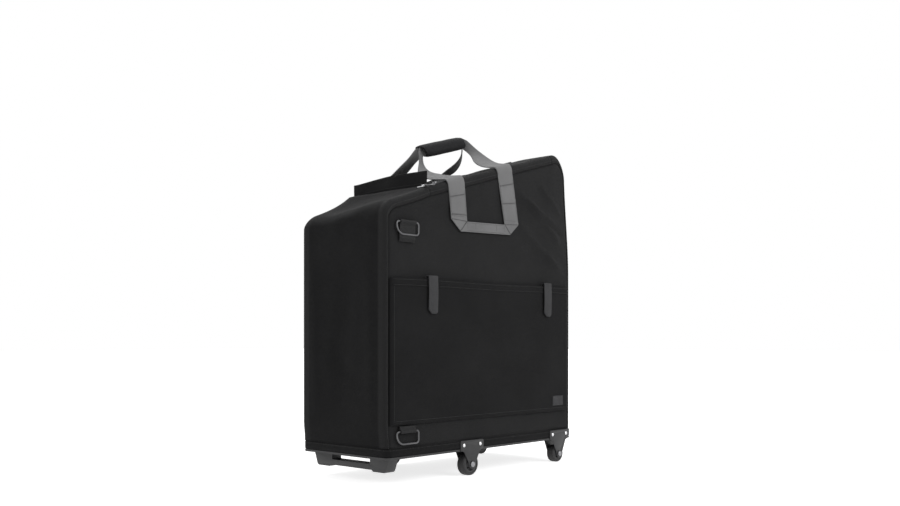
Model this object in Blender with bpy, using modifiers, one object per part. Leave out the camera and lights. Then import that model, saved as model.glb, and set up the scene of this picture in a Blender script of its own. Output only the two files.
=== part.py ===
"""Soft travel bag for a folded bicycle, on four fixed wheels.

Metres, +Z up. X runs along the bag from its low end (-X) to its tall end (+X), the front panel
with the pocket faces -Y, and the wheels touch the ground at Z = 0.
"""

import math

import bmesh
import bpy
from mathutils import Matrix, Vector

# Shared clearances
GAP = 0.0003                 # between pieces that are sewn, riveted or laid on each other
CUT = 0.002                  # how far a cutter runs past what it cuts

# Base
BASE_LENGTH = 0.700
BASE_PROUD = 0.002           # base past the front and rear panels
BASE_HEIGHT = 0.062          # underside of the base above the ground
BASE_CORNER = 0.014
BOARD_THICK = 0.005
BAND_HEIGHT = 0.020          # fabric covered rim that stands on the board
BAND_THICK = 0.0055
PAD_THICK = 0.010
PAD_MARGIN = 0.003

# Body shell
BODY_LEFT = -0.350
BODY_RIGHT = 0.345
BODY_WIDTH = 0.291
WALL = 0.005                 # padded fabric
TOP_MID = 0.750              # height of the slanted top above the ground at X = 0
TOP_SLOPE = math.radians(15.9)
LOW_CORNER = 0.046           # radius of the top corner at the low end
TALL_CORNER = 0.056          # radius of the top corner at the tall end
ROUND_ALONG = 0.014          # rounded edge, across the width
ROUND_END = 0.010            # rounded edge, inset at the two ends
ROUND_TOP = 0.020            # rounded edge, inset at the top
ROUND_STEPS = 4
SEAM_LIP_share = 0.12        # of the inset, where the gusset turns flat into the seam
CORNER_STEPS = 6

# Zip and lid
ZIP_X = -0.208               # cross zip, under the rain flap
ZIP_INSET = 0.0035           # zip line behind the rounded edge
COIL_WIDTH = 0.0030          # one row of teeth
COIL_THICK = 0.0030
COIL_PARTING = 0.00015       # half of the space between the two rows
LID_HINGE_X = 0.262
LID_EDGE_INSET = 0.0005

# Tow post port in the lid
PORT_X = 0.2227
PORT_RADIUS = 0.024
COLLAR_WIDTH = 0.008
COLLAR_THICK = 0.003

# Rain flap
FLAP_FROM_ZIP = 0.018
FLAP_HEIGHT = 0.034
FLAP_THICK = 0.0024
FLAP_NEAR_CLEAR = 0.012      # from the front zip line, room for its slider
FLAP_FAR_CLEAR = 0.004

# Zip sliders and pullers
SLIDER_LENGTH = 0.020
SLIDER_WIDTH = 0.0095
SLIDER_THICK = 0.0026
SLIDER_CORNER = 0.003
EAR_THICK = 0.0014
EAR_RADIUS = 0.0019
PIN_RADIUS = 0.0009
PIN_LIFT = 0.0010            # pin above the slider's plate
EYE_WALL = 0.0012            # puller's metal round its pin
PULLER_LENGTH = 0.030
PULLER_WIDTH = 0.0050
PULLER_THICK = 0.0016
PULLER_EYE = 0.0014          # radius of the hole at the free end
PULLER_REST = math.radians(4.5)  # pullers droop towards the fabric
CROSS_SLIDER_REACH = 0.0015  # slider's nose past the front zip line
FRONT_SLIDER_FROM_ZIP = 0.0185

# Front pocket
POCKET_LOW = 0.138
POCKET_HIGH = 0.472
POCKET_LEFT = -0.336
POCKET_RIGHT = 0.331
POCKET_SPACE = 0.0055        # room between the pocket and the panel
POCKET_WALL = 0.0015
HEM_HEIGHT = 0.018
HEM_THICK = 0.0010
LABEL_X = 0.281
LABEL_Z = 0.167
LABEL_WIDTH = 0.046
LABEL_HEIGHT = 0.026
LABEL_THICK = 0.0010

# Webbing tabs at the pocket's mouth
TAB_XS = (-0.211, 0.231)
TAB_WIDTH = 0.031
TAB_LENGTH = 0.088
TAB_THICK = 0.0022
TAB_CUT = 0.010              # cut lower corner towards the low end
TAB_CLIP = 0.005             # and the smaller cut of the other corner
TAB_ROOT_RISE = 0.009        # root above the pocket's mouth
TAB_ROOT_REACH = 0.0100

# D rings
RING_X = -0.2885
RING_WIDTH = 0.074
RING_DROP = 0.033
RING_WIRE = 0.0022
RING_CORNER = 0.006
RING_BOW = 0.022
RING_UPPER_Z = 0.599
RING_LOWER_Z = 0.124
RING_TAB_WIDTH = 0.050
RING_TAB_WALL = 0.0020
RING_TAB_CLEAR = 0.0004
RING_TAB_DROP = 0.046         # the upper ring's tab is sewn down below it
RING_TAB_RISE = 0.0125        # the lower ring's tab goes up to the pocket's bottom seam

# Carrying handles
WEB_THICK = 0.0022
GRIP_X = -0.015
GRIP_Z = 0.827
GRIP_LENGTH = 0.150
GRIP_HIGH = 0.034
GRIP_WIDE = 0.038
GRIP_ROUND = 0.006
RUN_WIDTH = 0.025            # webbing folded to run through the wrap
RUN_OFFSET = 0.0018          # each strap's run in front of or behind the wrap's middle
RUN_CLEAR = 0.0006
RUN_PAST = 0.006             # straight run past each end of the wrap
RUN_shares = (1.0, 0.5, 0.0, -0.5, -1.0)
WEB_WIDTH = 0.056
BAR_HIGH = 0.617             # sewn bar that joins a strap's two legs
BAR_WIDTH = 0.025
BAR_RISE = 0.006             # the bar climbs towards the tall end
BAR_shares = (0.0, 0.2, 0.8, 1.0)
MITRE = 0.034                # cut corner where a leg meets the bar
LEG_START = 0.003
LEG_PAST_SEAM = 0.011
LEG_PANEL_shares = (0.0, 0.4, 0.8, 1.0)
LEG_STEPS = 10
LOW_LEG_FOOT_X = -0.110
LOW_LEG_EDGE_X = -0.119
LOW_LEG_OVER = 0.042         # how far the leg keeps its direction past the top seam
LOW_LEG_SWEEP = 0.070        # how far out it swings before it enters the wrap
TALL_LEG_FOOT_X = 0.0895
TALL_LEG_EDGE_X = 0.064
TALL_LEG_OVER = 0.042
TALL_LEG_SWEEP = 0.036

# Casters
MID_CASTER_X = -0.065
END_CASTER_FROM_END = 0.057
WHEEL_RADII = {"mid": 0.028, "end": 0.023}
WHEEL_WIDTH = 0.024
TYRE_DEPTH = 0.0075
TREAD_ROUND = 0.005
HUB_WIDTH = 0.022
HUB_RIM = 0.004
HUB_WEB = 0.010
HUB_BOSS = 0.0085
AXLE_RADIUS = 0.0040
AXLE_CLEAR = 0.0003
WHEEL_SIDE_CLEAR = 0.0016
STEEL = 0.0020
PLATE_WIDTH = 0.084
PLATE_ABOVE = 0.025          # riveted plate above the underside of the base
PLATE_BELOW = 0.003
PLATE_RISE = 0.005            # the plate's lower edge climbs from the fork to its ends
PLATE_CORNER = 0.004
FORK_HALF_WIDTH = 0.028
FORK_END_RADIUS = 0.0115
RIVET_SPACING = 0.060
RIVET_Z_ABOVE = 0.014
RIVET_RADIUS = 0.0024
RIVET_HEAD_RADIUS = 0.0050
RIVET_HEAD_THICK = 0.0022
BOLT_HEAD_RADIUS = 0.0072
BOLT_HEAD_THICK = 0.0040
NUT_RADIUS = 0.0075
NUT_THICK = 0.0060
BOLT_PROUD = 0.0020
TURN_STEPS = 24

# Lift foot
FOOT_FROM_END = 0.044
FOOT_THICK = 0.040
FOOT_FROM_SIDE = 0.0175
FOOT_DROP = 0.033
FOOT_TAPER = 0.012
FOOT_CORNER = 0.009
FOOT_BAR_HALF = 0.072        # the bar between the two lobes, a little above their soles
FOOT_BAR_RISE = 0.004
FOOT_OPENING_HALF = 0.066
FOOT_OPENING_DROP = 0.016
FOOT_OPENING_CORNER = 0.005
FOOT_SCREW_SIDE_share = 0.72
SCREW_HEAD_RADIUS = 0.0042
SCREW_HEAD_THICK = 0.0026
SCREW_RADIUS = 0.0020
SCREW_SINK = 0.0035

HALF_WIDTH = BODY_WIDTH / 2
BASE_WIDTH = BODY_WIDTH + 2 * BASE_PROUD
CASTER_XS = {"mid": MID_CASTER_X, "end": BASE_LENGTH / 2 - END_CASTER_FROM_END}
FOOT_X = FOOT_FROM_END - BASE_LENGTH / 2
FOOT_HALF_WIDTH = BASE_WIDTH / 2 - FOOT_FROM_SIDE
BASE_TOP = BASE_HEIGHT + BOARD_THICK + GAP + BAND_HEIGHT
BODY_LOW = BASE_TOP + GAP
TOP_TAN = math.tan(TOP_SLOPE)
ALONG = Vector((math.cos(TOP_SLOPE), 0, math.sin(TOP_SLOPE)))
ABOVE = Vector((-math.sin(TOP_SLOPE), 0, math.cos(TOP_SLOPE)))
ZIP_Y = HALF_WIDTH - ROUND_ALONG - ZIP_INSET
PANEL_FACE = -HALF_WIDTH
POCKET_FACE = PANEL_FACE - GAP - POCKET_SPACE - POCKET_WALL

# Finishes: base colour, roughness, metallic
FINISHES = {
    "body_fabric": ((0.024, 0.024, 0.026), 0.85, 0.0),
    "end_fabric": ((0.016, 0.016, 0.018), 0.85, 0.0),
    "base_rubber": ((0.020, 0.020, 0.021), 0.60, 0.0),
    "foam": ((0.050, 0.050, 0.055), 0.90, 0.0),
    "webbing": ((0.190, 0.190, 0.192), 0.75, 0.0),
    "dark_webbing": ((0.052, 0.052, 0.055), 0.75, 0.0),
    "grip_fabric": ((0.022, 0.022, 0.024), 0.80, 0.0),
    "zip_teeth": ((0.012, 0.012, 0.013), 0.45, 0.0),
    "slider_metal": ((0.350, 0.350, 0.360), 0.30, 1.0),
    "black_steel": ((0.030, 0.030, 0.032), 0.40, 0.6),
    "bright_steel": ((0.700, 0.700, 0.710), 0.25, 1.0),
    "ring_wire": ((0.200, 0.200, 0.210), 0.35, 0.9),
    "tyre_rubber": ((0.018, 0.018, 0.019), 0.70, 0.0),
    "hub_plastic": ((0.040, 0.040, 0.042), 0.45, 0.0),
    "foot_plastic": ((0.038, 0.038, 0.040), 0.50, 0.0),
    "label": ((0.030, 0.030, 0.032), 0.70, 0.0),
}

PARTS = None
CUTTERS = None


def clear_scene():
    for thing in list(bpy.data.objects):
        bpy.data.objects.remove(thing, do_unlink=True)


def make_collection(name):
    found = bpy.data.collections.new(name)
    bpy.context.scene.collection.children.link(found)
    return found


def finish(thing, name):
    """Give an object its own material, with the colour of a finish."""
    colour, roughness, metallic = FINISHES[name]
    made = bpy.data.materials.new(thing.name + "_" + name)
    made.use_nodes = True
    shader = made.node_tree.nodes["Principled BSDF"]
    shader.inputs["Base Color"].default_value = (*colour, 1)
    shader.inputs["Roughness"].default_value = roughness
    shader.inputs["Metallic"].default_value = metallic
    thing.data.materials.append(made)
    return thing


def place(data, name, look=None):
    thing = bpy.data.objects.new(name, data)
    PARTS.objects.link(thing)
    if look:
        finish(thing, look)
    return thing


def mesh_from(name, build):
    """A mesh filled in by a function that is given an empty bmesh."""
    shape = bmesh.new()
    build(shape)
    data = bpy.data.meshes.new(name)
    shape.to_mesh(data)
    shape.free()
    return data


def box(name, low, high, look=None, bevel=0, steps=2):
    """A block between two corners, with optional rounded edges."""
    low, high = Vector(low), Vector(high)
    size, middle = high - low, (low + high) / 2

    def build(shape):
        bmesh.ops.create_cube(shape, size=1)
        bmesh.ops.scale(shape, vec=size, verts=shape.verts)

    thing = place(mesh_from(name, build), name, look)
    thing.location = middle
    if bevel:
        add_bevel(thing, bevel, steps)
    return thing


def add_bevel(thing, width, steps=2):
    rounding = thing.modifiers.new("rounding", "BEVEL")
    rounding.width = width
    rounding.segments = steps
    rounding.limit_method = "ANGLE"
    rounding.use_clamp_overlap = True


def rod(name, radius, start, end, look=None, sides=TURN_STEPS):
    """A round bar between two points."""
    start, end = Vector(start), Vector(end)
    way = end - start

    def build(shape):
        bmesh.ops.create_cone(shape, cap_ends=True, segments=sides, radius1=radius,
                              radius2=radius, depth=way.length)

    thing = place(mesh_from(name, build), name, look)
    thing.location = (start + end) / 2
    thing.rotation_euler = way.to_track_quat("Z", "Y").to_euler()
    return thing


def rounded(points, radii, steps):
    """Points of an open path whose inner corners are arcs, in the plane of its two numbers."""
    path = [points[0]]
    for before, corner, after, radius in zip(points, points[1:], points[2:], radii):
        corner, before, after = Vector(corner), Vector(before), Vector(after)
        back, on = (before - corner).normalized(), (after - corner).normalized()
        half = back.angle(on) / 2
        start = corner + back * radius / math.tan(half)
        end = corner + on * radius / math.tan(half)
        middle = corner + (back + on).normalized() * radius / math.sin(half)
        first, last = start - middle, end - middle
        sweep = first.angle_signed(last)
        for step in range(steps + 1):
            turned = first.copy()
            turned.rotate(Matrix.Rotation(-sweep * step / steps, 2))
            path.append(tuple(middle + turned))
    path.append(points[-1])
    return path


def rounded_loop(points, radii, steps):
    """Points of a closed outline whose corners are arcs."""
    around = [points[-1], *points, points[0]]
    return rounded(around, radii, steps)[1:-1]


def ring_of_points(a, b, radius, sides):
    turns = [math.tau * (step + 0.25) / sides for step in range(sides)]
    return [(a + radius * math.cos(t), b + radius * math.sin(t)) for t in turns]


def outline_plate(name, loops, low, high, look=None, axis="Y"):
    """A flat outline with its holes, filled and given a thickness between two heights of an axis.

    For axis Y the outline's numbers are X and Z, for axis X they are Y and Z, for axis Z X and Y.
    """
    curve = bpy.data.curves.new(name, "CURVE")
    curve.dimensions = "2D"
    curve.fill_mode = "BOTH"
    curve.extrude = (high - low) / 2
    for loop in loops:
        spline = curve.splines.new("POLY")
        spline.points.add(len(loop) - 1)
        for point, at in zip(spline.points, loop):
            point.co = (*at, 0, 1)
        spline.use_cyclic_u = True
    thing = place(curve, name, look)
    middle = (low + high) / 2
    if axis == "Y":
        thing.matrix_world = Matrix.Translation((0, middle, 0)) @ Matrix.Rotation(math.pi / 2, 4, "X")
    elif axis == "X":
        turn = Matrix(((0, 0, 1), (1, 0, 0), (0, 1, 0))).to_4x4()
        thing.matrix_world = Matrix.Translation((middle, 0, 0)) @ turn
    else:
        thing.location = (0, 0, middle)
    return thing


def as_mesh(thing):
    """The same object with its curve and modifiers made into a welded mesh."""
    bpy.context.view_layer.update()
    seen = thing.evaluated_get(bpy.context.evaluated_depsgraph_get())
    data = bpy.data.meshes.new_from_object(seen)
    name, where, looks = thing.name, thing.matrix_world.copy(), list(thing.data.materials)
    bpy.data.objects.remove(thing, do_unlink=True)
    shape = bmesh.new()
    shape.from_mesh(data)
    bmesh.ops.remove_doubles(shape, verts=shape.verts, dist=GAP / 30)
    shape.to_mesh(data)
    shape.free()
    data.materials.clear()
    for look in looks:
        data.materials.append(look)
    solid = place(data, name)
    solid.matrix_world = where
    return solid


def combine(thing, others, operation):
    """Cut other solids out of a solid, or join them to it."""
    for other in others:
        change = thing.modifiers.new(operation.lower(), "BOOLEAN")
        change.operation = operation
        change.solver = "EXACT"
        change.object = other
        other.hide_render = True
        other.display_type = "WIRE"
        PARTS.objects.unlink(other)
        CUTTERS.objects.link(other)
    return thing


def turned(name, profile, look, steps=TURN_STEPS):
    """A shape turned round local Z from (radius, height) points that run down its outer side."""
    closed = profile[0][0] > 0

    def build(shape):
        corners = [shape.verts.new((r, 0, z)) for r, z in profile]
        for a, b in zip(corners, corners[1:]):
            shape.edges.new((a, b))
        if closed:
            shape.edges.new((corners[-1], corners[0]))

    thing = place(mesh_from(name, build), name, look)
    spin = thing.modifiers.new("turn", "SCREW")
    spin.steps = steps
    spin.render_steps = steps
    spin.use_merge_vertices = True
    spin.merge_threshold = GAP / 30
    return thing


def top_line(x, inset=0):
    return TOP_MID + TOP_TAN * x - inset * ROUND_TOP


def left_path(inset, shrink=0, end_x=0):
    """Side view of the low end: up the end, round its corner and along the top to end_x."""
    x = BODY_LEFT + inset * ROUND_END + shrink
    corner = (x, top_line(x, inset) - shrink)
    points = [(x, BODY_LOW), corner, (end_x, top_line(end_x, inset) - shrink)]
    return rounded(points, [LOW_CORNER - inset * ROUND_END], CORNER_STEPS)


def right_path(inset, shrink=0, start_x=0):
    """Side view of the tall end: along the top from start_x, round the corner and down."""
    x = BODY_RIGHT - inset * ROUND_END - shrink
    corner = (x, top_line(x, inset) - shrink)
    points = [(start_x, top_line(start_x, inset) - shrink), corner, (x, BODY_LOW)]
    return rounded(points, [TALL_CORNER - inset * ROUND_END], CORNER_STEPS)


def top_path(inset, start_x, end_x):
    return [(start_x, top_line(start_x, inset)), (end_x, top_line(end_x, inset))]


def edge_section():
    """(y, inset) points of the rounded edge, from the front seam to the flat of the gusset.

    It starts with a narrow lip in the plane of the front panel.
    """
    turns = [math.pi / 2 * step / ROUND_STEPS for step in range(ROUND_STEPS + 1)]
    arc = [(-HALF_WIDTH + ROUND_ALONG * (1 - math.cos(t)), 1 - math.sin(t)) for t in turns]
    return [(-HALF_WIDTH, 1 + SEAM_LIP_share), *arc]


def strip(name, path, section, thickness, look):
    """A curved wall swept along a side view path, with its outer skin on the path."""
    def build(shape):
        rows = []
        for y, inset in section:
            rows.append([shape.verts.new((x, y, z)) for x, z in path(inset)])
        for row, following in zip(rows, rows[1:]):
            for k in range(len(row) - 1):
                shape.faces.new((row[k], row[k + 1], following[k + 1], following[k]))
        bmesh.ops.recalc_face_normals(shape, faces=shape.faces)
        middle = shape.faces[len(shape.faces) // 2]
        centre = Vector((0, 0, BODY_LOW))
        if middle.normal.dot(middle.calc_center_median() - centre) < 0:
            bmesh.ops.reverse_faces(shape, faces=shape.faces)

    thing = place(mesh_from(name, build), name, look)
    wall = thing.modifiers.new("wall", "SOLIDIFY")
    wall.thickness = thickness
    wall.offset = -1
    wall.use_even_offset = True
    return thing


def mirrored(section):
    return [(-y, inset) for y, inset in reversed(section)]


def ribbon(name, stations, look):
    """A closed band of webbing through (inner edge, outer edge) stations."""
    def build(shape):
        pairs = [[shape.verts.new(point) for point in station] for station in stations]
        for a, b in zip(pairs, pairs[1:] + pairs[:1]):
            shape.faces.new((a[0], a[1], b[1], b[0]))

    thing = place(mesh_from(name, build), name, look)
    web = thing.modifiers.new("web", "SOLIDIFY")
    web.thickness = WEB_THICK
    web.offset = 0
    web.use_even_offset = True
    return thing


def hang(name, where, pieces, under=None):
    """An empty on a joint's axis, which carries the pieces that move on it."""
    axis = place(None, name)
    axis.location = where
    axis.empty_display_size = WALL
    bpy.context.view_layer.update()
    for piece in pieces:
        held = bpy.data.objects[piece]
        held.parent = axis
        held.matrix_parent_inverse = axis.matrix_world.inverted()
    if under:
        carrier = bpy.data.objects[under]
        axis.parent = carrier
        axis.matrix_parent_inverse = carrier.matrix_world.inverted()
    bpy.context.view_layer.update()
    return axis


def build_base():
    half_l, half_w = BASE_LENGTH / 2, BASE_WIDTH / 2

    def plan(inset, radius):
        x, y = half_l - inset, half_w - inset
        return rounded_loop([(-x, -y), (x, -y), (x, y), (-x, y)], [radius] * 4, CORNER_STEPS)

    outer = plan(0, BASE_CORNER)
    inner = plan(BAND_THICK, BASE_CORNER - BAND_THICK)
    pad = plan(BAND_THICK + PAD_MARGIN, BASE_CORNER - BAND_THICK)
    board_top = BASE_HEIGHT + BOARD_THICK
    outline_plate("base_board", [outer], BASE_HEIGHT, board_top, "base_rubber", "Z")
    outline_plate("base_band", [outer, inner], board_top + GAP, BASE_TOP, "base_rubber", "Z")
    outline_plate("floor_pad", [pad], board_top + GAP, board_top + GAP + PAD_THICK, "foam", "Z")


def build_panels():
    """Front and rear panels and the gusset that joins them, with the fixed strips by the zip."""
    edge = edge_section()
    shoulder_end = ZIP_X - COIL_PARTING - COIL_WIDTH - GAP
    full = edge + mirrored(edge)
    strip("left_end_panel", lambda k: left_path(k, 0, shoulder_end), full, WALL, "end_fabric")
    strip("right_end_panel", lambda k: right_path(k, 0, LID_HINGE_X), full, WALL, "end_fabric")

    strip_edge = -ZIP_Y - COIL_PARTING - COIL_WIDTH - GAP
    front_strip = edge + [(strip_edge, 0)]
    start, end = shoulder_end + GAP, LID_HINGE_X - GAP
    strip("front_zip_strip", lambda k: top_path(k, start, end), front_strip, WALL, "body_fabric")
    strip("rear_zip_strip", lambda k: top_path(k, start, end), mirrored(front_strip), WALL,
          "body_fabric")

    seam = 1 + SEAM_LIP_share
    face = left_path(seam, GAP, 0)[:-1] + right_path(seam, GAP, 0)[1:]
    outline_plate("front_panel", [face], PANEL_FACE, PANEL_FACE + WALL, "body_fabric")
    outline_plate("rear_panel", [face], HALF_WIDTH - WALL, HALF_WIDTH, "body_fabric")


def on_top(x, y):
    """A point of the flat top in the plane's own numbers: along the slope from X = 0, and Y."""
    return (x / math.cos(TOP_SLOPE), y)


def build_zip():
    """A row of teeth on the body and one on the lid, each along three edges of the lid."""
    near, far = COIL_PARTING, COIL_PARTING + COIL_WIDTH
    end = LID_HINGE_X - GAP
    slab = Matrix((ALONG, (0, 1, 0), ABOVE)).transposed().to_4x4()
    slab.translation = (0, 0, TOP_MID)
    for name, inner, outer in (("body_zip_teeth", near, far), ("lid_zip_teeth", -far, -near)):
        a, b = ZIP_Y + inner, ZIP_Y + outer
        x_a, x_b = ZIP_X - inner, ZIP_X - outer
        loop = [(end, -b), (end, -a), (x_a, -a), (x_a, a), (end, a), (end, b), (x_b, b), (x_b, -b)]
        row = outline_plate(name, [[on_top(*at) for at in loop]], -COIL_THICK, 0, "zip_teeth", "Z")
        row.matrix_world = slab @ Matrix.Translation((0, 0, -COIL_THICK / 2))


def build_lid():
    start = ZIP_X + COIL_PARTING + COIL_WIDTH + GAP
    end = LID_HINGE_X - LID_EDGE_INSET
    half = ZIP_Y - COIL_PARTING - COIL_WIDTH - GAP
    lid = strip("lid_panel", lambda k: top_path(k, start, end), [(-half, 0), (half, 0)], WALL,
                "body_fabric")
    centre = Vector((PORT_X, 0, top_line(PORT_X)))
    hole = rod("port_cut", PORT_RADIUS, centre - ABOVE * (WALL + CUT), centre + ABOVE * CUT)
    combine(lid, [hole], "DIFFERENCE")

    inner, outer = PORT_RADIUS, PORT_RADIUS + COLLAR_WIDTH
    crown = COLLAR_THICK / 2
    profile = [(inner, COLLAR_THICK), (outer - crown, COLLAR_THICK), (outer, crown), (outer, 0),
               (inner, 0)]
    collar = turned("port_collar", profile, "dark_webbing")
    collar.location = centre + ABOVE * GAP
    collar.rotation_euler = (0, -TOP_SLOPE, 0)


def flap_foot():
    """Middle of the flap's round foot, just above the lid."""
    x = ZIP_X + FLAP_FROM_ZIP
    return Vector((x, 0, top_line(x))) + ABOVE * (FLAP_THICK / 2 + GAP)


def build_flap():
    radius, foot = FLAP_THICK / 2, flap_foot()
    turns = [math.pi + math.pi * step / CORNER_STEPS for step in range(CORNER_STEPS + 1)]
    loop = [(foot.x + radius * math.cos(t), foot.z + radius * math.sin(t)) for t in turns]
    loop += [(foot.x + radius, foot.z + FLAP_HEIGHT), (foot.x - radius, foot.z + FLAP_HEIGHT)]
    outline_plate("rain_flap", [loop], FLAP_NEAR_CLEAR - ZIP_Y, ZIP_Y - FLAP_FAR_CLEAR,
                  "end_fabric")


def slider_and_puller(prefix, where, turn):
    """A zip slider with its pin across local Y, and the puller that swings on the pin.

    The slider's plate lies on local Z = 0 with its nose towards local +X.
    """
    frame = Matrix.Translation(where) @ turn
    half_l, half_w = SLIDER_LENGTH / 2, SLIDER_WIDTH / 2
    eye_inner = PIN_RADIUS + GAP
    eye_outer = eye_inner + EYE_WALL
    pin = Vector((half_l + eye_outer + GAP, 0, SLIDER_THICK + PIN_LIFT))
    plan = rounded_loop([(-half_l, -half_w), (half_l, -half_w), (half_l, half_w),
                         (-half_l, half_w)], [SLIDER_CORNER] * 4, CORNER_STEPS)
    plate = as_mesh(outline_plate(prefix + "_slider", [plan], 0, SLIDER_THICK, "slider_metal", "Z"))

    ears = []
    inner = PULLER_WIDTH / 2 + GAP
    for side in (-1, 1):
        low, high = sorted((side * inner, side * (inner + EAR_THICK)))
        turns = [math.pi * (step / CORNER_STEPS - 0.5) for step in range(CORNER_STEPS + 1)]
        loop = [(pin.x + EAR_RADIUS * math.cos(t), pin.z + EAR_RADIUS * math.sin(t))
                for t in turns]
        back = half_l - 2 * EAR_RADIUS
        loop += [(back, pin.z + EAR_RADIUS), (back, SLIDER_THICK / 2)]
        ears.append(as_mesh(outline_plate(prefix + "_ear", [loop], low, high)))
    reach = inner + EAR_THICK / 2
    bar = rod(prefix + "_pin", PIN_RADIUS, pin - Vector((0, reach, 0)), pin + Vector((0, reach, 0)),
              sides=12)
    combine(plate, [*ears, bar], "UNION")

    hole = ring_of_points(0, 0, eye_inner, 12)
    lead = math.asin(PULLER_THICK / 2 / eye_outer)
    turns = [lead + (math.tau - 2 * lead) * step / 12 for step in range(13)]
    loop = [(eye_outer * math.cos(t), eye_outer * math.sin(t)) for t in turns]
    loop += [(PULLER_LENGTH, -PULLER_THICK / 2), (PULLER_LENGTH, PULLER_THICK / 2)]
    half = PULLER_WIDTH / 2
    puller = as_mesh(outline_plate(prefix + "_puller", [loop, hole], -half, half, "slider_metal"))
    eye_x = PULLER_LENGTH - PULLER_WIDTH / 2
    eye = rod(prefix + "_eye", PULLER_EYE, (eye_x, 0, -PULLER_THICK), (eye_x, 0, PULLER_THICK),
              sides=12)
    combine(puller, [eye], "DIFFERENCE")

    at_pin = frame @ Matrix.Translation(pin) @ Matrix.Rotation(PULLER_REST, 4, "Y")
    puller.matrix_world = at_pin @ puller.matrix_world
    eye.matrix_world = at_pin @ eye.matrix_world
    for piece in (plate, *ears, bar):
        bpy.context.view_layer.update()
        piece.matrix_world = frame @ piece.matrix_world


def build_sliders():
    """The cross zip's slider waits at the front edge, the front zip's slider beside it."""
    lift = ABOVE * GAP
    tilt = Matrix.Rotation(-TOP_SLOPE, 4, "Y")

    x = ZIP_X - COIL_PARTING - SLIDER_WIDTH / 2
    y = -ZIP_Y - CROSS_SLIDER_REACH + SLIDER_LENGTH / 2
    cross = tilt @ Matrix.Rotation(-math.pi / 2, 4, "Z")
    slider_and_puller("cross_zip", Vector((x, y, top_line(x))) + lift, cross)

    x = ZIP_X + FRONT_SLIDER_FROM_ZIP
    y = -ZIP_Y - COIL_PARTING - SLIDER_WIDTH / 2
    slider_and_puller("front_zip", Vector((x, y, top_line(x))) + lift, tilt)


def build_pocket():
    """An open topped patch pocket, its bound mouth and a bare label."""
    face, back = POCKET_FACE, PANEL_FACE - GAP

    def build(shape):
        rows = []
        for y in (back, face):
            rows.append([shape.verts.new((x, y, z)) for x, z in (
                (POCKET_LEFT, POCKET_HIGH), (POCKET_LEFT, POCKET_LOW),
                (POCKET_RIGHT, POCKET_LOW), (POCKET_RIGHT, POCKET_HIGH))])
        for k in range(3):
            shape.faces.new((rows[0][k], rows[0][k + 1], rows[1][k + 1], rows[1][k]))
        shape.faces.new(rows[1])
        bmesh.ops.recalc_face_normals(shape, faces=shape.faces)
        front = max(shape.faces, key=lambda f: f.calc_area())
        if front.normal.y > 0:
            bmesh.ops.reverse_faces(shape, faces=shape.faces)

    pocket = place(mesh_from("front_pocket", build), "front_pocket", "body_fabric")
    wall = pocket.modifiers.new("wall", "SOLIDIFY")
    wall.thickness = POCKET_WALL
    wall.offset = -1
    wall.use_even_offset = True
    box("pocket_hem", (POCKET_LEFT, face - GAP - HEM_THICK, POCKET_HIGH - HEM_HEIGHT),
        (POCKET_RIGHT, face - GAP, POCKET_HIGH), "body_fabric")
    box("label_patch",
        (LABEL_X - LABEL_WIDTH / 2, face - GAP - LABEL_THICK, LABEL_Z - LABEL_HEIGHT / 2),
        (LABEL_X + LABEL_WIDTH / 2, face - GAP, LABEL_Z + LABEL_HEIGHT / 2), "label")


def build_pocket_tabs():
    """Webbing tabs that hang over the pocket's mouth from short roots sewn to the panel."""
    root_z = POCKET_HIGH + TAB_ROOT_RISE
    out = PANEL_FACE - GAP - TAB_ROOT_REACH
    for name, x in zip(("left", "right"), TAB_XS):
        low, high = x - TAB_WIDTH / 2, x + TAB_WIDTH / 2
        box(f"pocket_tab_{name}_root", (low, out, root_z - TAB_THICK),
            (high, PANEL_FACE - GAP, root_z), "dark_webbing")
        top = root_z - TAB_THICK / 2
        foot = top - TAB_LENGTH
        loop = [(low, top), (low, foot + TAB_CUT), (low + TAB_CUT, foot),
                (high - TAB_CLIP, foot), (high, foot + TAB_CLIP), (high, top)]
        outline_plate("pocket_tab_" + name, [loop], out - GAP - TAB_THICK, out - GAP,
                      "dark_webbing")


def build_ring(name, z, tail):
    """A wire D ring that hangs from a webbing loop, whose sewn tail ends above or below it."""
    wrap = RING_WIRE + RING_TAB_CLEAR + RING_TAB_WALL
    y = PANEL_FACE - GAP - wrap
    half = RING_WIDTH / 2 - RING_WIRE
    drop = RING_DROP - 2 * RING_WIRE
    corners = [(-half, 0), (half, 0), (half, -drop), (-half, -drop)]
    loop = rounded_loop(corners, [RING_CORNER, RING_CORNER, RING_CORNER, RING_BOW], CORNER_STEPS)
    curve = bpy.data.curves.new(name, "CURVE")
    curve.dimensions = "3D"
    curve.bevel_depth = RING_WIRE
    curve.bevel_resolution = 2
    spline = curve.splines.new("POLY")
    spline.points.add(len(loop) - 1)
    for point, (a, b) in zip(spline.points, loop):
        point.co = (a, 0, b, 1)
    spline.use_cyclic_u = True
    ring = place(curve, name, "ring_wire")
    ring.location = (RING_X, y, z)

    turns = [math.tau * step / 16 for step in range(16)]
    inner = RING_WIRE + RING_TAB_CLEAR
    hole = [(y + inner * math.cos(t), z + inner * math.sin(t)) for t in turns]
    sheet, end, way = RING_TAB_WALL, z + tail, math.copysign(1, -tail)
    start = math.tau - math.acos((wrap - sheet) / wrap)
    turns = [start * step / 14 for step in range(1, 15)]
    outer = [(PANEL_FACE - GAP, end), (PANEL_FACE - GAP, z)]
    outer += [(y + wrap * math.cos(t), z + way * wrap * math.sin(t)) for t in turns]
    outer += [(PANEL_FACE - GAP - sheet, end)]
    outline_plate(name + "_tab", [outer, hole], RING_X - RING_TAB_WIDTH / 2,
                  RING_X + RING_TAB_WIDTH / 2, "dark_webbing", "X")


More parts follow.
